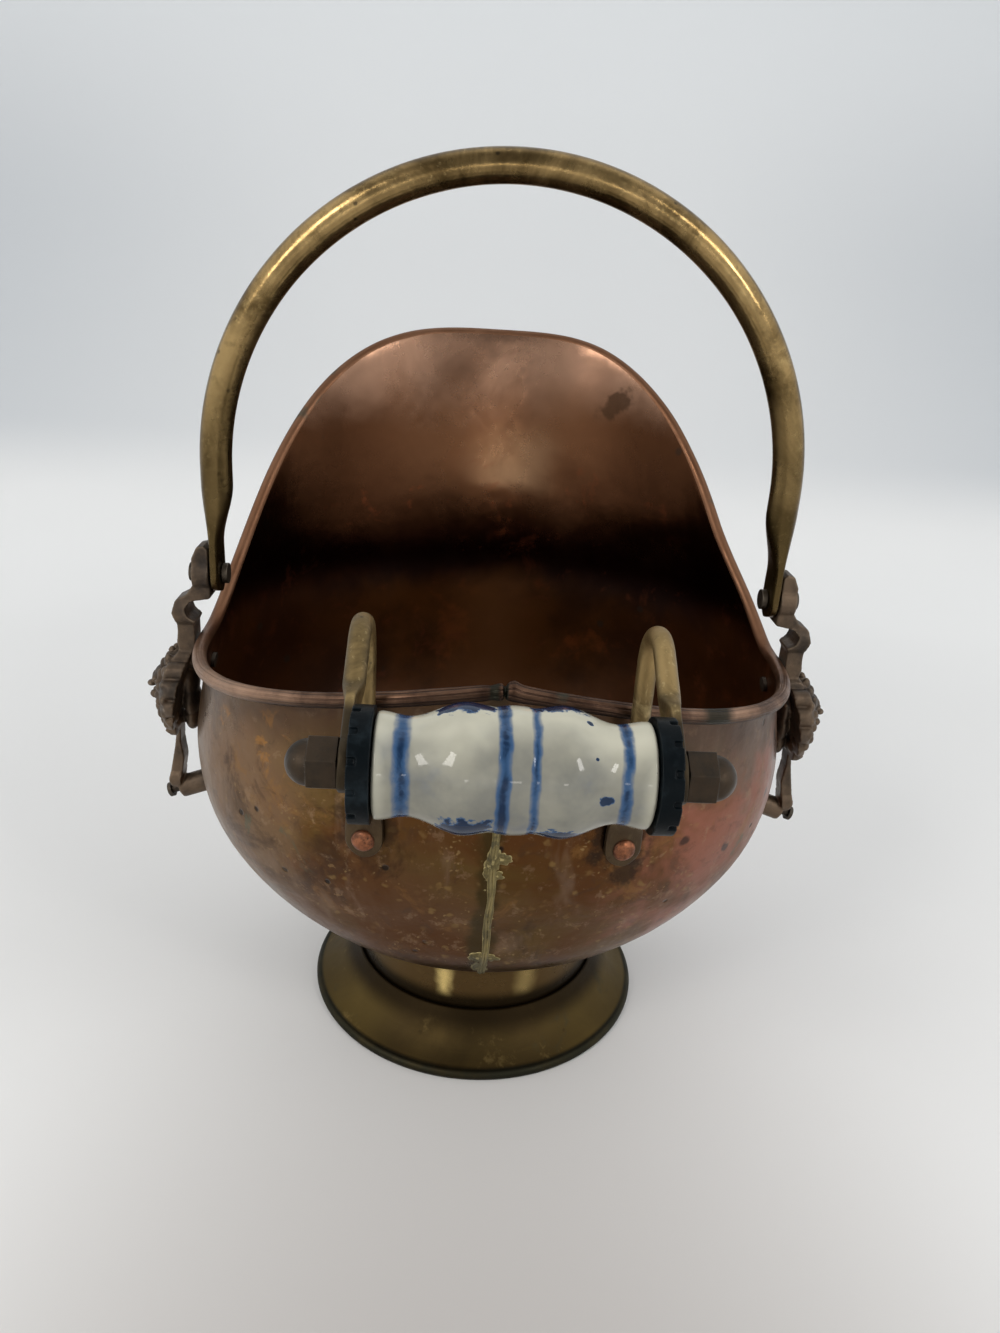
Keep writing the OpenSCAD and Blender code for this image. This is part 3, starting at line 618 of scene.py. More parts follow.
def copper_outside():
    """Mottled patina: brown, with olive gold clouds, rose where worn, gold flecks and dark pits;
    the lighter sides and the rose right side are partly a painted sheen, and the shade under the
    roll is painted.
    """
    f, t = Finish("copper_outside"), tones()
    x, y, z = f.xyz()
    bent, broken = f.bent(0.004, 45), f.bent(0.0042, 230)
    clouds = f.noise(15, 5, 0.62, 0.7)
    color = f.blend(f.steps(clouds, 0.4, 0.62), t.copper_brown, t.copper_olive)
    # rose towards the right: partly the patina, partly a painted sheen on that side
    right_rose_and_sheen = f.sum("ADD", f.steps(x, -0.02, 0.085),
                     f.steps(f.noise(30, 4, 0.6, 0.4), 0.3, 0.75, -0.45, 0.4), True)
    color = f.blend(f.steps(right_rose_and_sheen, 0.3, 1.0, 0.0, 0.95), color, t.copper_rose)
    upper = z + f.between(-0.012, 0.012, 34, 4, 0.65)
    back = f.steps(y, 0.035, -0.005)
    grey = f.steps(upper, 0.108, 0.128) * f.steps(x, 0.02, 0.06) * back
    color = f.blend(grey * 0.75, color, (0.12, 0.09, 0.062))
    # lighter towards the left: partly the patina's tone, partly a painted sheen on that side
    left_tone_and_sheen = f.sum("ADD", f.steps(x, -0.035, -0.09),
                    f.steps(f.noise(22, 4, 0.6, 0.6), 0.3, 0.75, -0.4, 0.3), True)
    color = f.blend(left_tone_and_sheen * 0.75, color, (0.225, 0.138, 0.08))
    # broad dark and light patches, then finer mottling
    color = f.patches(
        color,
        ((27, 6, 0.66, 1.5), 0.52, 0.68, 0.72, (0.05, 0.026, 0.014)),
        ((48, 6, 0.7, 1.0), 0.55, 0.7, 0.6, (0.25, 0.125, 0.04)),
        ((120, 5, 0.7, 0.6), 0.53, 0.68, 0.45, (0.07, 0.04, 0.024)),
        ((160, 4, 0.7, 0.3), 0.56, 0.68, 0.42, (0.3, 0.19, 0.11)))
    # streaks that run down the sides
    streaks = f.noise(75, 4, 0.6, 0.3, f.stretched(1, 1, 0.22))
    color = f.blend(f.steps(streaks, 0.56, 0.72, 0.0, 0.4), color, (0.28, 0.19, 0.13))
    # small flecks of bare brass colour, most of them low in the middle
    middle_low = f.steps(abs(x), 0.085, 0.02) * f.steps(z, 0.135, 0.1)
    flecks = f.steps(f.cells(190, broken), 0.3, 0.1)
    gate = f.sum("ADD", f.steps(f.noise(62, 3, 0.65), 0.44, 0.62), middle_low * 0.2, True)
    color = f.blend(flecks * gate * f.steps(middle_low, 0.0, 1.0, 0.2, 0.75), color,
                    (0.27, 0.165, 0.06))
    small = f.steps(f.cells(430, broken), 0.26, 0.08) * f.steps(f.noise(80, 3, 0.65), 0.48, 0.6)
    color = f.blend(small * f.steps(middle_low, 0.0, 1.0, 0.15, 0.65), color, (0.36, 0.24, 0.1))
    bare = f.steps(f.noise(330, 3, 0.6, 0.3), 0.64, 0.69) * f.steps(f.noise(58, 3, 0.6), 0.5, 0.62)
    color = f.blend(bare * 0.45, color, (0.34, 0.21, 0.09))
    off_seam = abs(x + f.between(-0.0012, 0.0032, 60, 3))
    seam = f.steps(off_seam, 0.0048, 0.0012) * f.steps(z, 0.05, 0.056)
    color = f.blend(seam * back * 0.8, color, (0.05, 0.036, 0.012))
    splash = f.steps(f.noise(85, 4, 0.6, 0.8), 0.55, 0.62)
    splash = splash * spot(f, x, z, -0.056, 0.13, 0.024, 0.009)
    color = f.blend(splash * back * 0.6, color, (0.4, 0.18, 0.04))
    pits = f.steps(f.cells(115, bent), 0.16, 0.08) * f.steps(f.noise(40, 2), 0.5, 0.6)
    color = f.blend(pits * 0.85, color, (0.016, 0.013, 0.011))
    dents = f.steps(f.cells(74, f.bent(0.006, 90)), 0.15, 0.07) * f.steps(x, 0.035, 0.06)
    color = f.blend(dents * 0.8, color, (0.028, 0.02, 0.018))
    green = f.steps(f.noise(40, 5, 0.65, 0.9), 0.63, 0.7, 0.0, 0.5)
    color = f.blend(green * f.steps(abs(x), 0.02, 0.07), color, (0.085, 0.11, 0.075))
    # painted shade under the roll; dark halos round the arms' tabs, dirt with painted shadow; dirt
    # on the old solder spot beside the right tab and by the roll's joint; last, darker towards the
    # bottom
    # painted shade: darker under the rolled rim
    shade_under_roll = f.steps(z + f.between(-0.003, 0.003, 60, 3), 0.124, 0.14, 0.0, 0.6)
    color = f.blend(shade_under_roll * back, color, (0.05, 0.034, 0.027))
    # round the tabs these are dirt and painted shadow
    for *oval, much in DIRT_AND_SHADE:
        here = spot(f, x, z, *oval) * back
        color = f.blend(here * much, color, (0.03, 0.018, 0.012))
    color = f.blend(f.steps(z, 0.062, 0.044, 0.0, 0.6), color, (0.06, 0.04, 0.034))
    rough = f.between(0.26, 0.44, 42, 5, 0.65)
    rough = rough + f.steps(streaks, 0.45, 0.7, 0.0, 0.1)
    height = f.noise(55, 3, 0.5) + f.noise(380, 3, 0.6) * 0.12
    normal = f.bump(height - pits * 0.4, 0.00055)
    return f.surface(color, rough, 0.97, normal)


def copper_inside():
    """Rose brown on the lip, darker low down and at its sides and lighter at its top as painted
    reflection, with a painted highlight on rubbed metal; nearly black at the crease as painted
    reflection; orange brown in the bowl, lighter in its middle and darker at its sides as painted
    reflection and shade; and stained.
    """
    f, t = Finish("copper_inside"), tones()
    x, _, z = f.xyz()
    rise = z + f.between(-0.008, 0.008, 16, 4, 0.6, 0.5)
    side = f.steps(abs(x), 0.01, 0.06)
    # painted reflection: the lip darker towards the crease
    lip = f.blend(f.steps(rise, 0.195, 0.16), t.lip_inside, (0.026, 0.0085, 0.003))
    # painted reflection: the lip darker at its sides
    lip = f.blend(side * 0.76, lip, (0.045, 0.016, 0.006))
    # rubbed metal and a painted highlight in the middle of the lip
    rubbed_and_highlight = f.oval(x, rise, 0.0062, 0.189, 0.018, 0.0115)
    lip = f.blend(f.steps(rubbed_and_highlight, 1.4, 0.0, 0.0, 0.4), lip, (0.4, 0.25, 0.14))
    # painted reflection: the lip lighter towards its top
    lip = f.blend(f.steps(rise, 0.195, 0.232, 0.0, 0.9), lip, (0.32, 0.185, 0.12))
    low = f.blend(f.steps(f.noise(24, 5, 0.6), 0.42, 0.66), t.bowl_inside, (0.045, 0.014, 0.002))
    low = f.patches(low, ((38, 5, 0.65), 0.55, 0.68, 0.6, (0.2, 0.05, 0.01)))
    # painted reflection: the bowl lighter in its middle
    low = f.blend(f.steps(abs(x - 0.002), 0.03, 0.0, 0.0, 0.6), low, (0.14, 0.055, 0.018))
    # painted shade: the bowl darker towards its sides
    low = f.blend(f.steps(abs(x), 0.04, 0.08, 0.0, 0.55), low, (0.03, 0.006, 0.0008))
    color = f.blend(f.steps(rise, 0.142, 0.15), low, lip)
    # painted reflection: a nearly black band along the crease
    band = f.steps(rise, 0.124, 0.144) * f.steps(rise, 0.166, 0.148)
    color = f.blend(band * 0.96, color, (0.01, 0.0015, 0.0004))
    stains = f.steps(f.noise(26, 6, 0.65, 0.5), 0.48, 0.72, 0.0, 0.4)
    color = f.blend(stains * f.steps(z, 0.14, 0.17), color, (0.05, 0.02, 0.009))
    red = f.steps(f.noise(70, 4, 0.7, 0.5), 0.58, 0.7, 0.0, 0.4) * f.steps(z, 0.205, 0.17)
    color = f.blend(red, color, (0.13, 0.035, 0.013))
    marks = f.steps(f.cells(70, f.bent(0.004, 60)), 0.15, 0.08) * f.steps(f.noise(25, 2), 0.53, 0.6)
    color = f.blend(marks * 0.65, color, (0.03, 0.02, 0.014))
    leaning = x - z * 0.6
    color = f.blend(spot(f, leaning, z, -0.0815, 0.2125, 0.0046, 0.0052) * 0.75, color,
                    (0.04, 0.02, 0.01))
    rough = f.between(0.2, 0.32, 32, 6, 0.7)
    height = f.noise(40, 3, 0.5) + f.noise(300, 3, 0.6, 0.0, f.stretched(1, 1, 0.5)) * 0.08
    return f.surface(color, rough + f.steps(z, 0.16, 0.13, 0.0, 0.15),
                     f.steps(z, 0.15, 0.135, 0.97, 0.55), f.bump(height, 0.0005))


def copper_rim():
    """The rolled edge: rose where hands rub it, brown in its ridges, with painted shade on its
    underside and a green spot or two.
    """
    f, t = Finish("copper_rim"), tones()
    x, y, _ = f.xyz()
    turn = f.node("ShaderNodeAttribute", "Fac", attribute_name="around")
    ridges = f.sum("SINE", turn * 44.0 + f.noise(28, 2) * 7.0)
    color = f.blend(f.steps(f.noise(60, 5, 0.65, 0.5), 0.35, 0.66), t.rim_rose,
                    (0.12, 0.068, 0.045))
    color = f.patches(color, ((150, 5, 0.7, 0.4), 0.54, 0.68, 0.5, (0.3, 0.2, 0.14)))
    near_joint = f.steps(abs(x), 0.07, 0.03, 0.25, 1.0)
    lines = f.steps(ridges, 0.2, 0.95) * f.steps(y, 0.02, -0.03)
    color = f.blend(lines * near_joint * 0.75, color, (0.045, 0.024, 0.017))
    # painted shade on the underside of the roll
    color = f.blend(f.steps(turn, 0.5, 0.78, 0.0, 0.85), color, (0.03, 0.018, 0.013))
    color = f.blend(f.steps(y, -0.03, 0.03, 0.0, 0.85), color, (0.175, 0.08, 0.04))
    color = f.blend(f.steps(abs(x + 0.004), 0.075, 0.03) * f.steps(y, 0.02, -0.03), color,
                    (0.47, 0.43, 0.41), "MULTIPLY")
    worn = f.steps(x, -0.06, -0.08) * f.steps(y, 0.02, -0.02)
    color = f.blend(worn * 0.4, color, (0.5, 0.33, 0.23))
    green = f.steps(f.noise(40, 3, 0.6), 0.62, 0.67) * 0.7
    color = f.blend(green, color, (0.06, 0.066, 0.05))
    for at_x, half, much in ((-0.0028, 0.0012, 0.9), (0.0002, 0.0006, 1.0), (0.0615, 0.0042, 0.9)):
        here = f.steps(abs(x - at_x), half * 1.5, half * 0.6) * f.steps(y, 0.02, -0.02)
        color = f.blend(here * much, color, (0.018, 0.019, 0.013))
    rough = f.between(0.36, 0.55, 80, 4, 0.6)
    normal = f.bump(lines * -0.8 + f.noise(150, 4, 0.6), 0.0002)
    return f.surface(color, rough, 0.92, normal)


def aged_brass(name, base, dark, bright, scale=1.0, rough_low=0.28, rough_high=0.5,
               scratch=(1.0, 1.0, 1.0), metallic=0.88, below=None, lower_tone=None, eye=None):
    """Brass gone olive: dark where it is never touched, bright where it is, with fine scratches."""
    f = Finish(name)
    color = f.blend(f.steps(f.noise(32 * scale, 6, 0.65, 0.8), 0.36, 0.66), base, dark)
    color = f.patches(color, ((75 * scale, 5, 0.7, 0.5), 0.55, 0.72, 0.6, bright))
    color = f.blend(f.edges(0.51, 0.62), color, bright)
    lines = f.noise(340 * scale, 3, 0.65, 0.0, f.stretched(*scratch))
    color = f.blend(f.steps(lines, 0.55, 0.75, 0.0, 0.4), color, dark)
    pits = f.steps(f.cells(210 * scale), 0.16, 0.08)
    color = f.blend(pits * f.steps(f.noise(60 * scale, 2), 0.5, 0.6) * 0.7, color,
                    (0.015, 0.013, 0.009))
    grain = f.noise(520 * scale, 3, 0.7, 0.0, f.stretched(*scratch))
    color = f.blend(f.steps(grain, 0.58, 0.7, 0.0, 0.45), color, bright)
    if below:
        _, _, z = f.xyz()
        # darker towards the bottom
        color = f.blend(f.steps(z, below[1], below[0], 0.0, 0.85), color, lower_tone)
    if eye:
        _, y, z = f.xyz()
        away = f.sum("SQRT", (y - eye.y) ** 2.0 + (z - eye.z) ** 2.0)
        color = f.blend(f.steps(away, 0.0155, 0.0115, 0.0, 0.9), color, (0.022, 0.016, 0.011))
    rough = f.between(rough_low, rough_high, 55 * scale, 5, 0.65)
    height = lines * 0.5 + f.noise(120 * scale, 3, 0.6)
    return f.surface(color, rough, metallic, f.bump(height, 0.00014))


def foot_brass():
    """Dull olive brass with a painted dark reflection on its front, nearly black in the joints,
    partly as painted shade, with painted highlights on the drum and the fine rings that turning
    leaves.
    """
    f, t = Finish("foot_brass"), tones()
    x, y, z = f.xyz()
    dark = (0.026, 0.017, 0.007)
    # painted reflection: the front of the foot darker
    front_dark_reflection = f.steps(abs(x + 0.003), 0.046, 0.022) * f.steps(y, 0.0, -0.02)
    color = f.blend(front_dark_reflection * 0.92, t.foot_brass, (0.042, 0.027, 0.01))
    color = f.patches(
        color,
        ((30, 5, 0.65, 0.6), 0.36, 0.68, 0.75, (0.07, 0.046, 0.015)),
        ((90, 5, 0.7), 0.58, 0.75, 0.5, (0.24, 0.165, 0.06)),
        ((50, 4, 0.65, 0.6), 0.62, 0.72, 0.6, (0.05, 0.045, 0.025)))
    out = f.sum("SQRT", x ** 2.0 + (y - FOOT_Y) ** 2.0)
    # dark joint between drum and flare, widened by painted shade
    joint = f.steps(out, 0.0525, 0.0475) * f.steps(z, 0.026, 0.0185)
    color = f.blend(joint * 0.95, color, (0.018, 0.011, 0.004))
    # painted highlights: two bright places on the drum
    around = f.sum("ARCTAN2", x + f.between(-0.001, 0.001, 90, 3), FOOT_Y - y)
    drum = f.steps(out, 0.0462, 0.0456) * f.steps(z, 0.0195, 0.0245)
    color = f.blend(drum * 0.6, color, (0.16, 0.095, 0.036))
    for angle, half, much in ((-0.27, 0.085, 1.0), (0.38, 0.13, 0.3)):
        near = f.steps(abs(around - angle), half, 0.0, 0.0, much)
        color = f.blend(drum * near, color, (0.95, 0.72, 0.28))
    lip = f.steps(out, 0.0592, 0.0604) * f.steps(f.noise(70, 3, 0.6), 0.25, 0.6, 0.6, 0.95)
    color = f.blend(lip, color, (0.02, 0.02, 0.013))
    color = f.blend(f.steps(z, 0.03, 0.036, 0.0, 0.75), color, dark)
    pits = f.steps(f.cells(120, f.bent(0.004, 60)), 0.14, 0.07)
    pits = pits * f.steps(f.noise(40, 2), 0.55, 0.62)
    color = f.blend(pits * 0.7, color, dark)
    rings = f.noise(1900, 1, 0.5, 0.0, f.stretched(0.01, 0.01, 1))
    rough = f.between(0.24, 0.36, 40, 5, 0.65)
    rough = rough + f.steps(z, 0.019, 0.0165, 0.0, 0.22)
    normal = f.bump(f.noise(60, 3) + rings * 0.12, 0.0002)
    return f.surface(color, rough, 0.95, normal)


def cast_metal():
    """Sand cast metal, nearly black in the hollows and rubbed brown on the high parts."""
    f, t = Finish("cast_metal"), tones()
    color = f.blend(f.steps(f.noise(60, 5, 0.65), 0.35, 0.68), t.cast_brown, (0.032, 0.025, 0.02))
    color = f.blend(f.edges(0.5, 0.6), color, (0.2, 0.15, 0.105))
    color = f.patches(color, ((45, 4, 0.6, 0.5), 0.6, 0.72, 0.5, (0.07, 0.062, 0.03)))
    rough = f.between(0.38, 0.62, 90, 4, 0.6)
    height = f.noise(260, 4, 0.65) + f.noise(900, 2, 0.6) * 0.4
    return f.surface(color, rough, 0.75, f.bump(height, 0.00022))


# blue bands: place along the grip, half width, strength
BANDS = ((-0.024, 0.0019, 0.85), (-0.0025, 0.0015, 0.95), (0.0042, 0.0011, 0.8),
         (0.0236, 0.0013, 0.8))
# brushed dabs: place along the grip, angle, half length, half angle, strength
DABS = ((-0.011, 101, 0.0072, 18, 1.0), (0.0098, 106, 0.0058, 14, 1.0),
        (-0.0098, -38, 0.0062, 17, 1.0), (0.01, -44, 0.0052, 12, 1.0), (0.0193, -1, 0.0017, 6, 0.9),
        (0.0155, 80, 0.0009, 4, 0.8), (0.0105, 98, 0.0004, 9, 0.4), (0.0165, 41, 0.0004, 1.6, 0.9),
        (-0.0115, -160, 0.0055, 24, 0.8), (0.0125, -170, 0.005, 22, 0.8))


def glazed_porcelain():
    """White glaze over a greyish body, cobalt bands and brushed dabs under it."""
    f, t = Finish("glazed_porcelain"), tones()
    x, y, z = f.xyz()
    # the angle round the grip in degrees: 0 faces the hand's side, 90 is the top
    round_it = f.sum("ARCTAN2", z - GRIP_AXIS.z, GRIP_AXIS.y - y) * (180 / math.pi)
    along = x + f.between(-0.0003, 0.0003, 90, 3, 0.6)
    wash = f.steps(f.noise(120, 4, 0.65, 0.4), 0.32, 0.7)
    blue = None
    for centre, half, dark in BANDS:
        away = abs(along - centre) / half
        core = f.steps(away, 0.9, 0.0, 0.0, 0.5) + f.steps(away, 1.3, 0.75, 0.0, 0.5)
        band = core * (f.steps(wash, 0.0, 1.0, 0.6, 1.0) * dark)
        blue = band if blue is None else f.sum("MAXIMUM", blue, band)
    for *oval, dark in DABS:
        away = f.oval(along, round_it, *oval)
        away = away + f.between(-0.3, 0.3, 300, 3, 0.65)
        blue = f.sum("MAXIMUM", blue, f.steps(away, 1.15, 0.7, 0.0, dark))
    white = f.blend(f.steps(f.noise(60, 4, 0.6), 0.35, 0.7), t.glaze, (0.17, 0.17, 0.15))
    white = f.patches(white, ((75, 4, 0.65), 0.54, 0.72, 0.32, (0.12, 0.145, 0.2)))
    cream = f.steps(abs(x), 0.026, 0.0295, 0.0, 0.5)
    # painted highlight: the top of the grip lighter, where light falls from above; the ends are
    # cream
    painted_top_light = f.steps(round_it + f.between(-16, 16, 50, 3), 18, 88, 0.0, 0.85)
    white = f.blend(f.sum("MAXIMUM", cream, painted_top_light), white, (0.56, 0.54, 0.43))
    # painted reflection: the grip lighter low on its front
    white = f.blend(f.steps(round_it, -30, -58, 0.0, 0.3), white, (0.36, 0.35, 0.3))
    specks = f.steps(f.cells(230), 0.07, 0.03) * f.steps(f.noise(90, 2), 0.56, 0.6)
    white = f.blend(specks, white, (0.1, 0.09, 0.08))
    pale = f.blend(f.steps(blue, 0.0, 0.5), white, (0.035, 0.085, 0.18))
    color = f.blend(f.steps(blue, 0.4, 0.85), pale, t.cobalt)
    normal = f.bump(f.noise(85, 3, 0.5), 0.00035)
    return f.surface(color, f.between(0.12, 0.24, 120, 3), 0.0, normal, Specular_IOR_Level=0.06,
                     Coat_Weight=0.45, Coat_Roughness=0.04)


def ring_plastic():
    f, t = Finish("ring_plastic"), tones()
    color = f.blend(f.steps(f.noise(110, 5, 0.7), 0.5, 0.75, 0.0, 0.8), t.ring_black,
                    (0.012, 0.018, 0.022))
    color = f.blend(f.edges(0.52, 0.62) * 0.5, color, (0.04, 0.05, 0.056))
    rough = f.between(0.3, 0.5, 150, 4, 0.6)
    return f.surface(color, rough, 0.0, f.bump(f.noise(500, 3, 0.6), 0.00006),
                     Specular_IOR_Level=0.07)


def brazing_metal():
    f = Finish("brazing_metal")
    color = f.blend(f.steps(f.noise(130, 5, 0.7, 0.6), 0.35, 0.66), (0.16, 0.125, 0.045),
                    (0.07, 0.055, 0.022))
    color = f.blend(f.edges(0.505, 0.57), color, (0.36, 0.29, 0.125))
    color = f.patches(color, ((260, 3, 0.7), 0.56, 0.7, 0.7, (0.07, 0.062, 0.035)))
    _, _, z = f.xyz()
    color = f.blend(f.steps(z, 0.0635, 0.058, 0.0, 0.6), color, (0.11, 0.1, 0.062))
    rough = f.between(0.4, 0.65, 200, 4)
    return f.surface(color, rough, 0.6, f.bump(f.noise(480, 4, 0.65), 0.00025))


def rivet_copper():
    f = Finish("rivet_copper")
    color = f.blend(f.steps(f.noise(330, 5, 0.7), 0.35, 0.66), (0.33, 0.125, 0.06),
                    (0.12, 0.052, 0.03))
    color = f.patches(color, ((520, 3, 0.7), 0.58, 0.68, 0.7, (0.03, 0.016, 0.01)))
    color = f.blend(f.edges(0.505, 0.46), color, (0.03, 0.017, 0.011))
    rough = f.between(0.32, 0.55, 300, 3)
    return f.surface(color, rough, 0.9, f.bump(f.noise(560, 3, 0.6), 0.0002))


def dark_steel(name, base, worn=0.7):
    f = Finish(name)
    color = f.blend(f.steps(f.noise(160, 5, 0.7), 0.4, 0.7), base, (0.03, 0.024, 0.018))
    color = f.blend(f.edges(0.5, 0.6) * worn, color, (0.22, 0.19, 0.15))
    rough = f.between(0.35, 0.6, 210, 4)
    return f.surface(color, rough, 0.85, f.bump(f.noise(500, 3, 0.6), 0.0001))


# ---- the body's form ----

class Form:
    """The raised sheet as a rule: where its middle surface lies in any direction, at any height."""

    plan_back, plan_front, fullness = 2.3, 2.05, 2.1
    lip_squareness, lip_taper, lip_widening = 3.5, 0.26, 0.006

    def __init__(self, sizes, drum_radius):
        self.s = sizes
        self.depth = sizes.belly_height - sizes.bottom_height
        inner = (drum_radius - 0.0011) / sizes.belly_half_width
        drop = self.depth * (1 - inner ** self.fullness) ** (1 / self.fullness)
        self.drum_top = sizes.belly_height - drop - 0.0009

    def share(self, z):
        if z >= self.s.belly_height:
            return 1.0
        drop = (self.s.belly_height - z) / self.depth
        return max(0.0, 1 - drop ** self.fullness) ** (1 / self.fullness)

    def lip_share(self, z):
        share = (z - self.s.crease_height) / (self.s.lip_height - self.s.crease_height)
        return min(1.0, max(0.0, share))

    def drawn_in(self, z):
        return smooth((z - self.s.belly_height) / (self.s.rim_side_height - self.s.belly_height))

    def plan_blend(self, z):
        return smooth((z - self.drum_top) / 0.04)

    def half_width(self, z):
        half = self.share(z) * mix(self.s.belly_half_width, self.s.rim_half_width, self.drawn_in(z))
        return half + self.lip_widening * self.lip_share(z) ** 1.3

    def reach(self, z, back):
        near = self.share(z) * mix(self.s.belly_half_width, self.s.belly_reach, self.plan_blend(z))
        if back:
            return near
        lean = self.s.lip_reach - 0.975 * self.s.belly_reach
        return near * mix(1, 0.975, self.drawn_in(z)) + lean * self.lip_share(z) ** 1.2

    def power(self, z, back):
        return mix(2, self.plan_back if back else self.plan_front, self.plan_blend(z))

    def wall(self, a, z):
        back = math.sin(a) < 0
        w, reach, n = self.half_width(z), self.reach(z, back), self.power(z, back)
        if w <= 0 or reach <= 0:
            return Vector((0, 0, z))
        r = 1 / ((abs(math.cos(a)) / w) ** n + (abs(math.sin(a)) / reach) ** n) ** (1 / n)
        return Vector((r * math.cos(a), r * math.sin(a), z))

    def normal(self, a, z):
        step, turn = 0.0004, math.radians(0.4)
        up = self.wall(a, z + step) - self.wall(a, z - step)
        along = self.wall(a + turn, z) - self.wall(a - turn, z)
        return along.cross(up).normalized()

    def rim(self, t):
        """The rim's line: a squared hood for half a turn, then the low back with its peak."""
        s, sine, cosine = self.s, math.sin(t), math.cos(t)
        if sine >= 0:
            rise = abs(sine) ** (2 / self.lip_squareness)
            z = s.rim_side_height + (s.lip_height - s.rim_side_height) * rise
            x = (s.rim_half_width - self.lip_taper * (z - s.rim_side_height)) * math.copysign(
                abs(cosine) ** (2 / self.lip_squareness), cosine)
            n, back = self.power(z, False), 1
        else:
            x = s.rim_half_width * math.copysign(abs(cosine) ** (2 / self.plan_back), cosine)
            z = s.rim_side_height + s.rim_back_rise * (1 - (abs(x) / s.rim_half_width) ** 1.2)
            n, back = self.plan_back, -1
        inside = max(0.0, 1 - min(1.0, abs(x) / self.half_width(z)) ** n) ** (1 / n)
        return Vector((x, back * self.reach(z, back < 0) * inside, z))


def scuttle_form():
    return Form(bpy.context.scene.scuttle_body, bpy.context.scene.scuttle_foot.drum_radius)


def rim_turns():
    """Even steps round the rim, with close ones at the back where the two ends of the roll meet."""
    turns = [2 * math.pi * k / 256 for k in range(256)]
    width = bpy.context.scene.scuttle_body.rim_half_width
    for x in (0.0002, 0.00045, 0.0007, 0.001, 0.0014, 0.0018, 0.0022, 0.0027, 0.0032, 0.0046,
              0.0056):
        away = math.asin((x / width) ** (Form.plan_back / 2))
        turns += [1.5 * math.pi + away, 1.5 * math.pi - away]
    for share in (0.004, 0.01, 0.018, 0.028, 0.04, 0.055, 0.07, 0.09, 0.15, 0.18):
        away = math.asin(share ** (Form.lip_squareness / 2))
        turns += [away, math.pi - away]
    return sorted(turns)


def joint_of_roll(x):
    """How the roll swells and parts where its ends meet at the back."""
    swell = (1 + 0.24 * bell(x - 0.0022, 0.0015) + 0.06 * bell(x + 0.0016, 0.001)
             + 0.1 * bell(x - 0.0052, 0.0025))
    return swell * (1 - 0.45 * bell(x, 0.0004)) * (1 - 0.12 * bell(x + 0.0035, 0.0012))


def stray(place, normal, amount):
    """A sheet point moved a little along its normal, as hand raising leaves it."""
    much = 0.7 * wander(place, 16, 3.0) + 0.3 * wander(place, 45, 8.0)
    return place + amount * much * normal


def leaning(place):
    """The right side of the hood stands a little inwards, so that it isn't quite even."""
    high = smooth((place.z - 0.142) / 0.034)
    return place - Vector((0.0048 * high * smooth((place.x - 0.004) / 0.06), 0, 0))


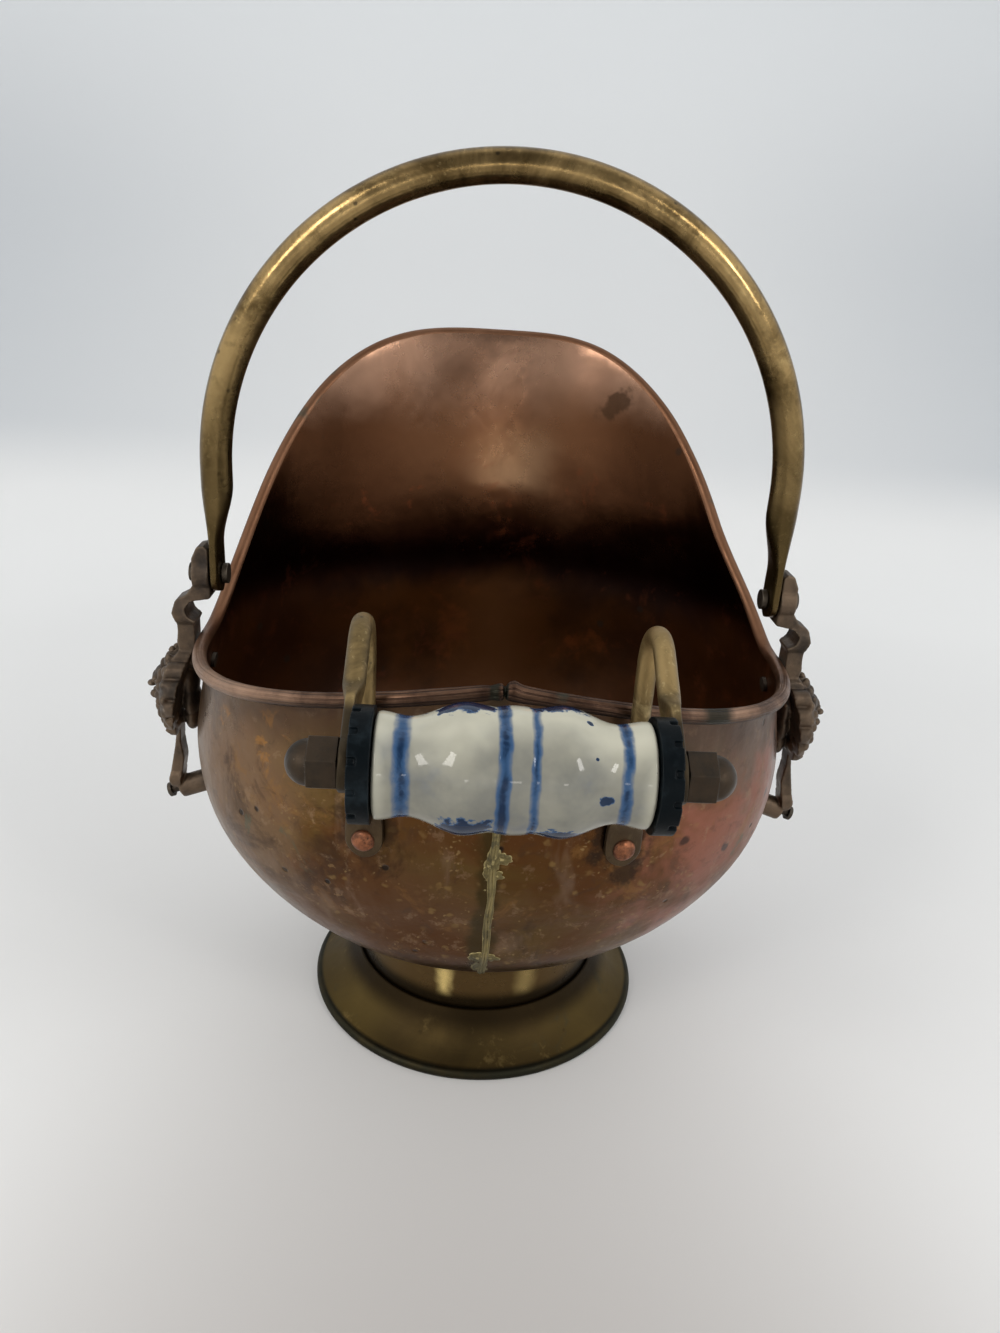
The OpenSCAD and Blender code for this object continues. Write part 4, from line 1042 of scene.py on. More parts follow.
class SCUTTLE_OT_body(bpy.types.Operator):
    """Raises the copper body from its rule and rolls its edge over the wire"""
    bl_idname = "scuttle.body"
    bl_label = "Copper body"

    bowl_rows, wall_rows, lip_rows, curl_steps = 30, 10, 22, 16
    curl_end = math.radians(105)

    def heights(self, form, rim_z):
        s = form.s
        middle_z = min(s.crease_height, (s.belly_height + rim_z) / 2)
        bowl = [s.belly_height
                - form.depth * math.cos(math.pi / 2 * k / self.bowl_rows) ** (2 / form.fullness)
                for k in range(1, self.bowl_rows + 1)]
        for low, high, rows in ((s.belly_height, middle_z, self.wall_rows),
                                (middle_z, rim_z, self.lip_rows)):
            bowl += [mix(low, high, k / rows) for k in range(1, rows + 1)]
        return bowl

    def roll(self, form, turn, ahead, behind):
        """The rim's point, the roll's centre and radius there, and the directions square to it."""
        s = form.s
        rim = form.rim(turn)
        along = (ahead - behind).normalized()
        n = form.normal(math.atan2(rim.y, rim.x), rim.z - 0.001)
        out = (n - n.dot(along) * along).normalized()
        rim = stray(rim, n, s.unevenness)
        curl = ((s.wire + s.sheet) / 2 + ROLL_GAP) * (1 + 0.04 * wander(rim, 60, 5.0))
        return rim, rim + curl * out, curl, out, out.cross(along)

    def column(self, form, turn, ahead, behind, lift):
        s, half = form.s, form.s.sheet / 2
        rim = form.rim(turn)
        a = math.atan2(rim.y, rim.x)
        zs = self.heights(form, rim.z)
        sheet = []
        for z in zs[:-1]:
            n = form.normal(a, z)
            sheet.append((stray(form.wall(a, z), n, s.unevenness), n))
        at_joint = joint_of_roll(rim.x) if rim.y < 0 else 1.0
        rim, centre, curl, out, up = self.roll(form, turn, ahead, behind)

        def arc(radius, start, stop):
            points = []
            for k in range(self.curl_steps + 1):
                b = mix(start, stop, k / self.curl_steps)
                grown = mix(1.0, at_joint, smooth((math.pi - b) / 1.2))
                points.append(centre + radius * grown * (math.cos(b) * out + math.sin(b) * up)
                              + Vector((0, 0, lift * smooth((math.pi - b) / 1.5))))
            return points

        outer = [p + half * n for p, n in sheet]
        inner = [p - half * n for p, n in reversed(sheet)]
        under = arc(curl - half, math.pi, -self.curl_end)
        over = arc(curl + half, -self.curl_end, math.pi)
        return outer + under + over + inner

    def execute(self, context):
        form = scuttle_form()
        turns = rim_turns()
        count = len(turns)
        rims = [form.rim(turn) for turn in turns]
        beside = [(rims[(i + 1) % count], rims[i - 1]) for i in range(count)]
        columns = []
        for turn, rim, pair in zip(turns, rims, beside):
            lift = 0.0006 * bell(rim.x - 0.002, 0.0018) if math.sin(turn) < -0.9 else 0.0
            columns.append(self.column(form, turn, *pair, lift))
        rows = len(columns[0])
        shift = Vector((0, FOOT_Y, 0))
        points = [leaning(columns[i][j]) + shift for j in range(rows) for i in range(count)]
        s = form.s
        for half in (-s.sheet / 2, s.sheet / 2):
            points.append(shift + Vector((0, 0, s.bottom_height + half)))
        faces = skin(rows, count)
        sheet_rows = self.bowl_rows + self.wall_rows + self.lip_rows - 1
        curl_rows = 2 * self.curl_steps + 1
        marks = []
        for j in range(rows - 1):
            kind = 0 if j < sheet_rows - 1 else 2 if j < sheet_rows + curl_rows else 1
            marks += [kind] * count
        top = (rows - 1) * count
        for i in range(count):
            k = (i + 1) % count
            faces += [(rows * count, k, i), (rows * count + 1, top + i, top + k)]
            marks += [0, 1]
        finishes = copper_outside(), copper_inside(), copper_rim()
        body = new_object("copper_body", points, faces, finishes, marks)
        around = body.data.attributes.new("around", "FLOAT", "POINT")
        values = []
        for j in range(rows):
            k = j - sheet_rows - self.curl_steps - 1
            turn = 0.0 if k < 0 else 1 - k / self.curl_steps if k <= self.curl_steps else 0.0
            values += [turn] * count
        around.data.foreach_set("value", values + [0.0, 0.0])
        tidy(body.data, 0)
        seat(body, "scuttle", "copper", "body_shell")
        centres = [self.roll(form, turn, *pair)[1] for turn, pair in zip(turns, beside)]
        line = bpy.data.meshes.new("wire_line")
        closed = [(i, (i + 1) % count) for i in range(count)]
        line.from_pydata([tuple(leaning(p) + shift) for p in centres], closed, [])
        line = bpy.data.objects.new("wire_line", line)
        context.scene.collection.objects.link(line)
        wire = wire_tree().run(line, "rolled_in_wire", Radius=s.wire / 2 * 0.86,
                               Finish=dark_steel("wire_iron", (0.1, 0.09, 0.08)))
        seat(wire, "scuttle", "iron_wire", "rim_wire")
        return {"FINISHED"}


def on_back(form, x, z, off=0.0):
    """Point on the outside of the back wall at a place across and a height."""
    w, reach, n = form.half_width(z), form.reach(z, True), form.power(z, True)
    y = -reach * max(0.0, 1 - (abs(x) / w) ** n) ** (1 / n)
    a = math.atan2(y, x)
    normal = form.normal(a, z)
    place = stray(Vector((x, y, z)), normal, form.s.unevenness)
    return place + (form.s.sheet / 2 + off) * normal + Vector((0, FOOT_Y, 0)), normal


class SCUTTLE_OT_braze(bpy.types.Operator):
    """Runs the line of brazing metal down the back seam, with its blobs and drops"""
    bl_idname = "scuttle.braze"
    bl_label = "Brazed seam"

    # across, up, half across, half up, height, and the seed of the edge
    BLOBS = ((0.0, 0.1035, 0.0022, 0.0042, 0.0007, 1.0), (0.0024, 0.1046, 0.003, 0.0022, 0.0004,
                                                          4.0), (-0.001, 0.0995, 0.0016, 0.0026,
                                                                 0.0003, 22.0),
             (0.0014, 0.0985, 0.0018, 0.0018, 0.00025, 31.0),
             (-0.0022, 0.0615, 0.003, 0.0024, 0.0005, 7.0),
             (0.0018, 0.0612, 0.0026, 0.0018, 0.00035, 12.0),
             (-0.0012, 0.055, 0.0026, 0.0042, 0.0003, 16.0))

    def strip(self, form):
        low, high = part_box("seam_braze")
        points, rows, across = [], 140, 16
        for j in range(rows + 1):
            z = mix(high.z, low.z, j / rows)
            middle_x = 0.0009 * wander((0, 0, z), 48, 2.0)
            half = 0.00105 + 0.0003 * wander((0, 0, z), 130, 6.0)
            height = 0.0005 + 0.0002 * wander((0, 0, z), 170, 9.0)
            parting = 0.1 + 0.35 * wander((0, 0, z), 90, 12.0)
            end = min(1.0, j / 3, (rows - j) / 3)
            for i in range(across + 1):
                u = 2 * i / across - 1
                crown = (1 - u * u) * max(0.12, 1 - 0.95 * bell(u - parting, 0.3))
                x = middle_x + half * u * (0.4 + 0.6 * end)
                points.append(on_back(form, x, z, -0.0001 + height * crown * end + 0.0001)[0])
        faces = []
        for j in range(rows):
            for i in range(across):
                a = j * (across + 1) + i
                faces.append((a, a + 1, a + across + 2, a + across + 1))
        return points, faces

    def blob(self, form, x, z, half_x, half_z, height, seed):
        points, rings, sides = [], 9, 36
        for j in range(rings + 1):
            away = j / rings
            for i in range(sides):
                turn = 2 * math.pi * i / sides
                cosine, sine = math.cos(turn), math.sin(turn)
                edge = 1 + 0.55 * wander((cosine, sine, seed), 1.9, seed)
                rough = 1 + 0.5 * wander((away * cosine, away * sine, 0), 2.6, seed)
                rise = height * (1 - away ** 2.2) * rough
                points.append(on_back(form, x + half_x * away * edge * cosine,
                                      z + half_z * away * edge * sine, max(-0.00005, rise))[0])
        faces = [f[::-1] for f in skin(rings + 1, sides)]
        return points, faces

    def execute(self, context):
        form, finish = scuttle_form(), brazing_metal()
        parts = [self.strip(form)]
        for values in self.BLOBS:
            parts.append(self.blob(form, *values))
        points, faces = [], []
        for some_points, some_faces in parts:
            base = len(points)
            points += some_points
            faces += [tuple(base + k for k in face) for face in some_faces]
        seam = new_object("seam_sheet", points, faces, (finish,))
        thick = seam.modifiers.new("body", "SOLIDIFY")
        thick.thickness, thick.offset = 0.00025, -1.0
        seam = baked(seam, "brazed_seam")
        field = []
        for z in (0.104, 0.098, 0.09, 0.08, 0.07, 0.062):
            for x in (-0.0028, -0.0009, 0.0009, 0.0028):
                field.append(on_back(form, x, z, 0.00005)[0])
        corners = [4 * j + i for j in range(5) for i in range(3)]
        grid = [(k, k + 1, k + 5, k + 4) for k in corners]
        drops = beads_tree().run(new_object("drop_field", field, grid), "braze_drops",
                                 Finish=finish, Density=45000.0, Smallest=0.00012, Largest=0.0004)
        for piece in (seam, drops):
            piece.data.shade_smooth()
            seat(piece, "scuttle", "braze", "seam_braze")
        return {"FINISHED"}


class SCUTTLE_OT_foot(bpy.types.Operator):
    """Spins the brass foot: a flared ring with a rolled edge, the drum, and the solder above it"""
    bl_idname = "scuttle.foot"
    bl_label = "Brass foot"

    steps_round, solder_steps = 256, 200
    worn_flat = 0.0004       # how much of the roll is worn away where it stands on the floor

    def flare_profile(self, s, bead, bead_x, flat):
        """Outside of the flare from the drum down, round the roll and up the inside."""
        outer = []
        top = s.flare_height
        join_r = s.drum_radius + 0.00015
        for k in range(13):
            t = 1 - k / 12
            hollow = 0.0016 * math.sin(math.pi * t)
            outer.append((mix(bead_x, join_r + s.sheet, t),
                          mix(2 * bead - flat, top + s.sheet * 0.6, t) - hollow))
        roll = []
        for k in range(25):
            b = math.radians(84 - 264 * k / 24)
            r, z = bead_x + bead * math.cos(b), bead - flat + bead * math.sin(b)
            roll.append((r, max(0.0, z)))
        inner = [(r - 0.0002, z - s.sheet) for r, z in reversed(outer)]
        collar = [(join_r, top - 0.0012), (join_r, top + 0.0014), (join_r + 0.0006, top + 0.0015),
                  (join_r + s.sheet, top + 0.0009)]
        return collar + outer[1:] + roll + inner[1:-1]

    def execute(self, context):
        s = context.scene.scuttle_foot
        finish = foot_brass()
        floor = (0, FOOT_Y, 0)
        bead = 0.0007 + 0.00005 + s.sheet
        flare = lathe("foot_flare_sheet",
                      self.flare_profile(s, bead, s.radius - bead, self.worn_flat), floor, UPWARDS,
                      self.steps_round, (finish,))
        seat(flare, "scuttle", "foot_brass", "foot_flare")
        low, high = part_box("foot_drum")
        inner = s.drum_radius - s.sheet
        drum = [(inner, low.z), (inner, high.z), (s.drum_radius, high.z)]
        for k in range(15):
            t = k / 14
            drum.append((s.drum_radius - 0.0005 * math.sin(math.pi * t),
                         mix(high.z - 0.0004, low.z, t)))
        drum = lathe("foot_drum_sheet", drum, floor, UPWARDS, self.steps_round, (finish,))
        seat(drum, "scuttle", "foot_brass", "foot_drum")
        solder = []
        low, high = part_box("foot_solder")
        for k in range(self.solder_steps):
            turn = 2 * math.pi * k / self.solder_steps
            out = Vector((math.cos(turn), math.sin(turn), 0))
            much = 0.75 + 0.5 * wander(out, 6, 4.0)
            r = s.drum_radius + 0.00005
            shape = ((0, 0.2), (0, 1.1), (0.0004, 1.3), (0.0011 * much, 1.45), (0.0009 * much, 0.9),
                     (0.0005 * much, 0.5))
            for dr, dz in shape:
                z = low.z + dz * (high.z - low.z) / 1.45
                solder.append(Vector(floor) + (r + dr) * out + Vector((0, 0, z)))
        ring = new_object("solder_fillet", solder, skin(self.solder_steps, len(shape), True),
                          (finish,))
        tidy(ring.data)
        seat(ring, "scuttle", "foot_brass", "foot_solder")
        return {"FINISHED"}


class SCUTTLE_OT_bail(bpy.types.Operator):
    """Bends the bail's tube and flattens its ends on the pins"""
    bl_idname = "scuttle.bail"
    bl_label = "Bail"

    eye, taper, tab_out = 0.006, 0.03, 0.0931       # radius, length, and how far out the tabs stand
    hole, ring_sides = 0.00206, 40

    def half(self, s):
        """Stations from the right pin to the top of the bow: centre, direction, half sizes and
        squareness."""
        tab_x = PIN.x + self.tab_out
        stations = []

        def station(x, z, turn, through, width, squareness):
            stations.append((Vector((x, PIN.y, z)), turn, through, width, squareness))

        for k in range(9):
            z = -self.eye * math.cos(math.pi / 2 * k / 8)
            width = math.sqrt(max(0.0, self.eye ** 2 - z * z))
            station(tab_x, PIN.z + z, 0.0, s.tab / 2, max(0.0004, width), 5.0)
        for k in range(1, 26):
            h = self.taper * k / 25
            r = smooth((h - 0.009) / 0.021)
            width = mix(self.eye, s.tube / 2, smooth((h - self.eye) / 0.024))
            station(mix(tab_x, s.bow_radius, r), PIN.z + h, 0.0, mix(s.tab / 2, s.tube / 2, r),
                    width, mix(5.0, 2.0, smooth(h / self.taper)))
        for k in range(1, 5):
            z = PIN.z + self.taper + (s.leg - self.taper) * k / 5
            station(s.bow_radius, z, 0.0, s.tube / 2, s.tube / 2, 2.0)
        for k in range(73):
            turn = math.pi / 2 * k / 72
            dent = 1 + 0.012 * wander((turn, 0, 0), 2.2, 6.0)
            station(s.bow_radius * math.cos(turn), PIN.z + s.leg + s.bow_radius * math.sin(turn),
                    turn, s.tube / 2 * dent, s.tube / 2 / dent, 2.0)
        return stations

    def execute(self, context):
        right = self.half(context.scene.scuttle_bail)
        rings = []
        for side, stations in ((1, right), (-1, right[-2::-1])):
            for centre, turn, *sizes in stations:
                out = Vector((side * math.cos(turn), 0, math.sin(turn)))
                rings.append(section(Vector((side * centre.x, centre.y, centre.z)), out, FORWARDS,
                                     *sizes, self.ring_sides))
        t = tones()
        finish = aged_brass("bail_brass", t.bail_brass, (0.075, 0.046, 0.015), (0.45, 0.32, 0.14),
                            0.9, 0.18, 0.36, (1.0, 1.0, 1.0), 0.93, (0.165, 0.255),
                            (0.075, 0.05, 0.018))
        bail = capped_loft("brass_bail", rings, (finish,))
        centres = [Vector((side * self.tab_out, PIN.y, PIN.z)) for side in (1, -1)]
        bail = bored(bail, [(centre, SIDEWAYS, self.hole, 0.012) for centre in centres])
        seat(bail, "bail", "bail_brass", "bail")
        return {"FINISHED"}


def lump(centre, radii):
    bpy.ops.mesh.primitive_uv_sphere_add(segments=28, ring_count=18, radius=1.0)
    made = bpy.context.object
    made.data.transform(Matrix.Translation(centre) @ Matrix.Diagonal((*radii, 1.0)))
    made.matrix_world = Matrix.Identity(4)
    return made


class SCUTTLE_OT_ears(bpy.types.Operator):
    """Casts the two ears: the node's bracket with a plain lion's face and mane worked over it"""
    bl_idname = "scuttle.ears"
    bl_label = "Cast ears"

    # the face's place: inwards from the node's outer end, and down from the rim's side
    back_depth, face_drop = 0.01295, 0.0195
    # the dome under the face: what stands out further than this, within this height, is halved
    press_from, press_half, press_share = 0.003, 0.0165, 0.5
    grain = 0.00042
    # rings of locks: how many, ring radius, how far out, each lock's reach, width and rise, twist
    LOCKS = ((17, 12.4, 3.6, 3.4, 2.0, 1.7, 0.0), (14, 10.0, 5.6, 3.0, 1.8, 1.7, 0.2),
             (12, 7.6, 6.9, 2.5, 1.5, 1.5, 0.1))
    # features of the face, in millimetres: how far out, how far to the side, how high, and three
    # half sizes; the last three are the backing that fills the casting out to the body
    FACE = ((5.6, 0, 0.0, 3.8, 6.2, 8.4), (7.2, 0, 6.4, 2.6, 3.8, 2.2),
            (8.9, 2.6, 5.0, 1.5, 2.3, 0.9), (8.3, 2.9, 3.3, 1.2, 1.2, 0.9),
            (9.4, 0, 3.8, 1.8, 1.3, 3.0), (11.3, 0, 1.8, 1.6, 1.9, 1.15),
            (9.4, 1.7, -1.5, 2.3, 1.9, 1.7), (8.0, 0, -5.0, 1.4, 1.8, 0.9),
            (7.2, 0, -8.4, 1.9, 2.4, 1.6), (6.6, 4.7, -0.6, 2.2, 2.3, 3.4),
            (5.2, 6.4, 7.0, 2.2, 1.9, 2.1), (4.6, 0, -12.6, 2.6, 2.6, 2.2),
            (-2.2, 0, 3.0, 2.7, 6.0, 6.0), (-2.3, 0, -3.5, 2.7, 6.5, 6.0),
            (-2.1, 0, -10.0, 2.6, 4.6, 5.0))

    def mane(self, centre, side, tree, finish):
        """Three rings of locks round the face, the inner ones further out."""
        made = []
        turn = Matrix.Rotation(side * math.pi / 2, 4, "Y")
        for count, ring, out, reach, width, rise, twist in self.LOCKS:
            seed = new_object("lock_seed", [(0, 0, 0)], [])
            locks = tree.run(seed, "locks", Count=count, Ring=ring * MM, Reach=reach * MM,
                             Width=width * MM, Rise=rise * MM, Finish=finish)
            at = Matrix.Translation(centre + Vector((side * out * MM, 0, 0)))
            locks.data.transform(at @ turn @ Matrix.Rotation(twist, 4, "Z"))
            made.append(locks)
        return made

    def recess(self, rivets):
        """The round hollow over the upper rivet's head: its centre, axis, radius and depth."""
        upper = [v.co for v in frame["nodes"][rivets].data.vertices if v.co.z > 0.122]
        reach = sorted(abs(co.x) for co in upper)

        def cap(kept):
            return sum(kept, Vector()) / len(kept)

        head = cap([co for co in upper if abs(co.x) > reach[-1] - 0.0005])
        tail = cap([co for co in upper if abs(co.x) < reach[0] + 0.0005])
        axis = (head - tail).normalized()
        return head + axis * 0.0047, axis, 0.0029, 0.012

    def execute(self, context):
        finish = cast_metal()
        tree = locks_tree()
        for name, node, side in (("cast_ear_right", "ear_right", 1),
                                 ("cast_ear_left", "ear_left", -1)):
            low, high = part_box(node)
            back_x = (high.x if side > 0 else -low.x) - self.back_depth
            up = context.scene.scuttle_body.rim_side_height - self.face_drop
            centre = Vector((side * back_x, PIN.y, up))
            lumps = self.mane(centre, side, tree, finish)
            for out, across, up, half_out, half_across, half_up in self.FACE:
                for hand in ((1, -1) if across else (1,)):
                    spot = centre + Vector((side * out, hand * across, up)) * MM
                    lumps.append(lump(spot, Vector((half_out, half_across, half_up)) * MM))

            def pressed(at):
                out = side * at.x - back_x
                if out > self.press_from and abs(at.z - centre.z) < self.press_half:
                    kept = self.press_share * (out - self.press_from)
                    return Vector((side * (back_x + self.press_from + kept), at.y, at.z))
                return at

            ear = softened(name, node, self.grain, finish, 3, lumps, pressed)
            ear = bored(ear, [self.recess(node.replace("ear", "ear_rivets"))])
            seat(ear, "scuttle", "cast_ear", node)
        return {"FINISHED"}


class SCUTTLE_OT_arms(bpy.types.Operator):
    """Forges the two gooseneck arms: tab, leg outside the rim, bend, and flattened eye"""
    bl_idname = "scuttle.arms"
    bl_label = "Gooseneck arms"

    # above the rivet: where the flat tab ends, and where the round leg begins
    flat_up, leg_up = 0.0027, 0.024
    # the eye's radius, the length of its flat, and the length over which the rod is forged flat
    eye_radius, eye_flat, forged = 0.0064, 0.0136, 0.0075
    rivet_hole, rod_hole, ring_sides = 0.00203, 0.003275, 32

    def stations(self, s, form, arm_x):
        """Rings from the tab's lower end to the far side of the eye, for the right arm."""
        tab, rod = s.tab_thickness / 2, s.rod / 2
        tab_c, normal = on_back(form, arm_x, s.rivet_height, 0.0003 + tab)
        flat_n = Vector((normal.x, normal.y, 0)).normalized()
        turn_0 = math.atan2(flat_n.x, -flat_n.y)
        leg_y = -self.leg_reach(form, arm_x, rod) + FOOT_Y
        half_tab = s.tab_width / 2
        flat_top, leg_foot = s.rivet_height + self.flat_up, s.rivet_height + self.leg_up
        rings = []

        def ring(centre, across, through, a, b, squareness):
            rings.append(section(centre, across, through, a, b, squareness, self.ring_sides))

        def tab_ring(z, r, half, squareness, thick):
            turn = turn_0 * (1 - r)
            centre = Vector((mix(tab_c.x, arm_x, r), mix(tab_c.y, leg_y, r), z))
            ring(centre, Vector((math.cos(turn), math.sin(turn), 0)),
                 Vector((math.sin(turn), -math.cos(turn), 0)), half, thick, squareness)

        for k in range(8):
            drop = half_tab * math.cos(math.pi / 2 * k / 8)
            half = max(0.0004, math.sqrt(half_tab ** 2 - drop ** 2))
            tab_ring(s.rivet_height - drop, 0.0, half, 6.0, tab)
        for k in range(5):
            tab_ring(s.rivet_height + self.flat_up * k / 4, 0.0, half_tab, 6.0, tab)
        for k in range(1, 25):
            t = k / 24
            r = smooth(t)
            tab_ring(mix(flat_top, leg_foot, t), r, mix(half_tab, rod, r), mix(6, 2, r),
                     mix(tab, rod, r))
        for k in range(1, 9):
            uneven = 1 + 0.03 * wander((0, 0, k), 0.4, 2.0)
            tab_ring(mix(leg_foot, s.bend_height, k / 9), 1.0, rod * uneven, 2, rod)
        bend_y = leg_y - s.bend
        away = Vector((0, GRIP_AXIS.y - bend_y, GRIP_AXIS.z - s.bend_height))
        leave = math.acos(s.bend / away.length) + math.atan2(away.z, -away.y)

        def on_bend(b):
            centre = Vector((arm_x, bend_y - s.bend * math.cos(b),
                             s.bend_height + s.bend * math.sin(b)))
            return centre, Vector((0, math.cos(b), -math.sin(b)))

        for k in range(37):
            centre, through = on_bend(mix(math.pi, leave, k / 36))
            ring(centre, SIDEWAYS, through, rod, rod * (1 - 0.05 * math.sin(math.pi * k / 36)), 2)
        exit_point, through = on_bend(leave)
        eye = Vector((arm_x, GRIP_AXIS.y, GRIP_AXIS.z))
        way = (eye - exit_point).normalized()
        run = (eye - exit_point).length
        eye_r, flat, forged = self.eye_radius, self.eye_flat, self.forged
        neck, eye_half = eye_r * 0.82, s.eye_thickness / 2
        for k in range(1, 6):
            ring(exit_point + way * (run - flat - forged) * k / 6, SIDEWAYS, through, rod, rod, 2)
        for k in range(19):
            r = smooth(k / 18)
            ring(eye - way * mix(flat + forged, flat, k / 18), SIDEWAYS, through,
                 mix(rod, eye_half, r), mix(rod, neck, r), mix(2, 6, r))
        for k in range(1, 25):
            d = mix(-flat, eye_r, k / 24)
            least = neck if d < 0 and abs(d) > eye_r * 0.5 else 0.0004
            half = max(least, math.sqrt(max(0.0, eye_r ** 2 - d * d)))
            ring(eye + way * d, SIDEWAYS, through, eye_half, half, 6)
        return rings, tab_c, flat_n, eye

    def leg_reach(self, form, arm_x, rod):
        """How far behind the foot's axis the leg stands, clear of the rolled rim."""
        s = form.s
        curl = (s.wire + s.sheet) / 2 + ROLL_GAP
        reach = 0.0
        for k in range(64):
            turn = 2 * math.pi * k / 64
            rim = form.rim(turn)
            ahead, behind = form.rim(turn + math.pi / 32), form.rim(turn - math.pi / 32)
            along = (ahead - behind).normalized()
            n = form.normal(math.atan2(rim.y, rim.x), rim.z - 0.001)
            centre = rim + curl * (n - n.dot(along) * along).normalized()
            if centre.y < 0 and abs(centre.x - arm_x) < 0.008:
                reach = max(reach, -centre.y)
        return reach + curl + s.sheet / 2 + 0.0003 + rod

    def execute(self, context):
        s, form, t = context.scene.scuttle_arms, scuttle_form(), tones()
        finish = aged_brass("arm_brass", t.arm_brass, (0.1, 0.068, 0.027), (0.46, 0.35, 0.17), 1.3,
                            0.34, 0.55, (1.0, 1.0, 0.22), 0.85, (0.114, 0.135),
                            (0.052, 0.033, 0.02), GRIP_AXIS)
        arm_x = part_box("nut_right")[0].x - 0.00005 - s.eye_thickness / 2
        rings, tab_c, tab_n, eye = self.stations(s, form, arm_x)
        heads, facings = [], []
        for name, node, side in (("forged_arm_right", "arm_right", 1),
                                 ("forged_arm_left", "arm_left", -1)):
            flip = Matrix.Diagonal((side, 1, 1, 1))
            arm = capped_loft(name, [[flip @ p for p in ring] for ring in rings], (finish,))
            normal = flip @ tab_n
            arm = bored(arm, [(flip @ tab_c, normal, self.rivet_hole, 0.02),
                              (flip @ eye, SIDEWAYS, self.rod_hole, 0.02)])
            seat(arm, "scuttle", "arm_brass", node)
            heads += [flip @ tab_c + normal * (s.tab_thickness / 2),
                      flip @ tab_c - normal * (s.tab_thickness / 2 + 0.0017)]
            facings += [normal, -normal]
        points = new_object("rivet_points", heads, [])
        facing = points.data.attributes.new("facing", "FLOAT_VECTOR", "POINT")
        facing.data.foreach_set("vector", [c for v in facings for c in v])
        rivets = heads_tree().run(points, "arm_rivet_heads", Radius=s.head_radius,
                                  Height=s.head_height, Unevenness=0.00035, Finish=rivet_copper())
        seat(rivets, "scuttle", "rivet_copper", "arm_rivet_left", "arm_rivet_right")
        return {"FINISHED"}


class SCUTTLE_OT_grip(bpy.types.Operator):
    """Turns the porcelain grip, and finishes its rings and nuts"""
    bl_idname = "scuttle.grip"
    bl_label = "Porcelain grip"

    hollow, edge, steps_along, steps_round = 0.0009, 0.0009, 150, 160

    def radius(self, s, x):
        share = abs(x) / (s.length / 2)
        neck, groove = s.end_radius - self.hollow, s.radius - self.hollow
        if share > 0.76:
            return mix(neck, s.end_radius, smooth((share - 0.76) / 0.2))
        if share > 0.35:
            return mix(s.radius, neck, smooth((share - 0.35) / 0.41))
        if share > 0.13:
            return mix(groove, s.radius, smooth((share - 0.13) / 0.22))
        return groove + 0.0005 * math.cos(math.pi / 2 * share / 0.13) ** 0.6

    def execute(self, context):
        s, t = context.scene.scuttle_grip, tones()
        profile = [(s.bore, -s.length / 2)]
        for k in range(self.steps_along + 1):
            x = mix(-s.length / 2, s.length / 2, k / self.steps_along)
            inside = max(0.0, self.edge - (s.length / 2 - abs(x)))
            round_off = self.edge - math.sqrt(max(0.0, self.edge ** 2 - inside ** 2))
            profile.append((self.radius(s, x) - round_off, x))
        profile.append((s.bore, s.length / 2))
        grip = lathe("porcelain", profile, GRIP_AXIS, SIDEWAYS, self.steps_round,
                     (glazed_porcelain(),))
        seat(grip, "grip", "porcelain", "porcelain_grip")
        black = ring_plastic()
        bronze = dark_steel("nut_bronze", t.nut_bronze, 0.2)
        for side in ("right", "left"):
            ring = softened("end_ring_" + side, "ring_" + side, 0.00022, black)
            seat(ring, "scuttle", "black_ring", "ring_" + side)
            nut = softened("dome_nut_" + side, "nut_" + side, 0.00016, bronze, 3)
            seat(nut, "scuttle", "nut_brass", "nut_" + side)
        return {"FINISHED"}


class SCUTTLE_OT_fixings(bpy.types.Operator):
    """Finishes the pins and the ear rivets, and the pieces of the frame that show as they are"""
    bl_idname = "scuttle.fixings"
    bl_label = "Pins and rivets"

    def execute(self, context):
        worn = dark_steel("pin_steel", (0.085, 0.068, 0.05))
        for side in ("right", "left"):
            pin = softened("pin_" + side, "bail_pin_" + side, 0.00014, worn)
            seat(pin, "scuttle", "pin_metal", "bail_pin_" + side)
        wire = bpy.data.materials["wire_iron"]
        dull = dark_steel("rivet_dull", (0.042, 0.029, 0.02), 0.2)
        rod = dark_steel("rod_steel", (0.3, 0.28, 0.25))
        for node, finish in (("ear_rivets_left", dull), ("ear_rivets_right", dull),
                             ("foot_wire", wire), ("grip_rod", rod)):
            shown = frame["nodes"][node]
            shown.data.materials.clear()
            shown.data.materials.append(finish)
        return {"FINISHED"}


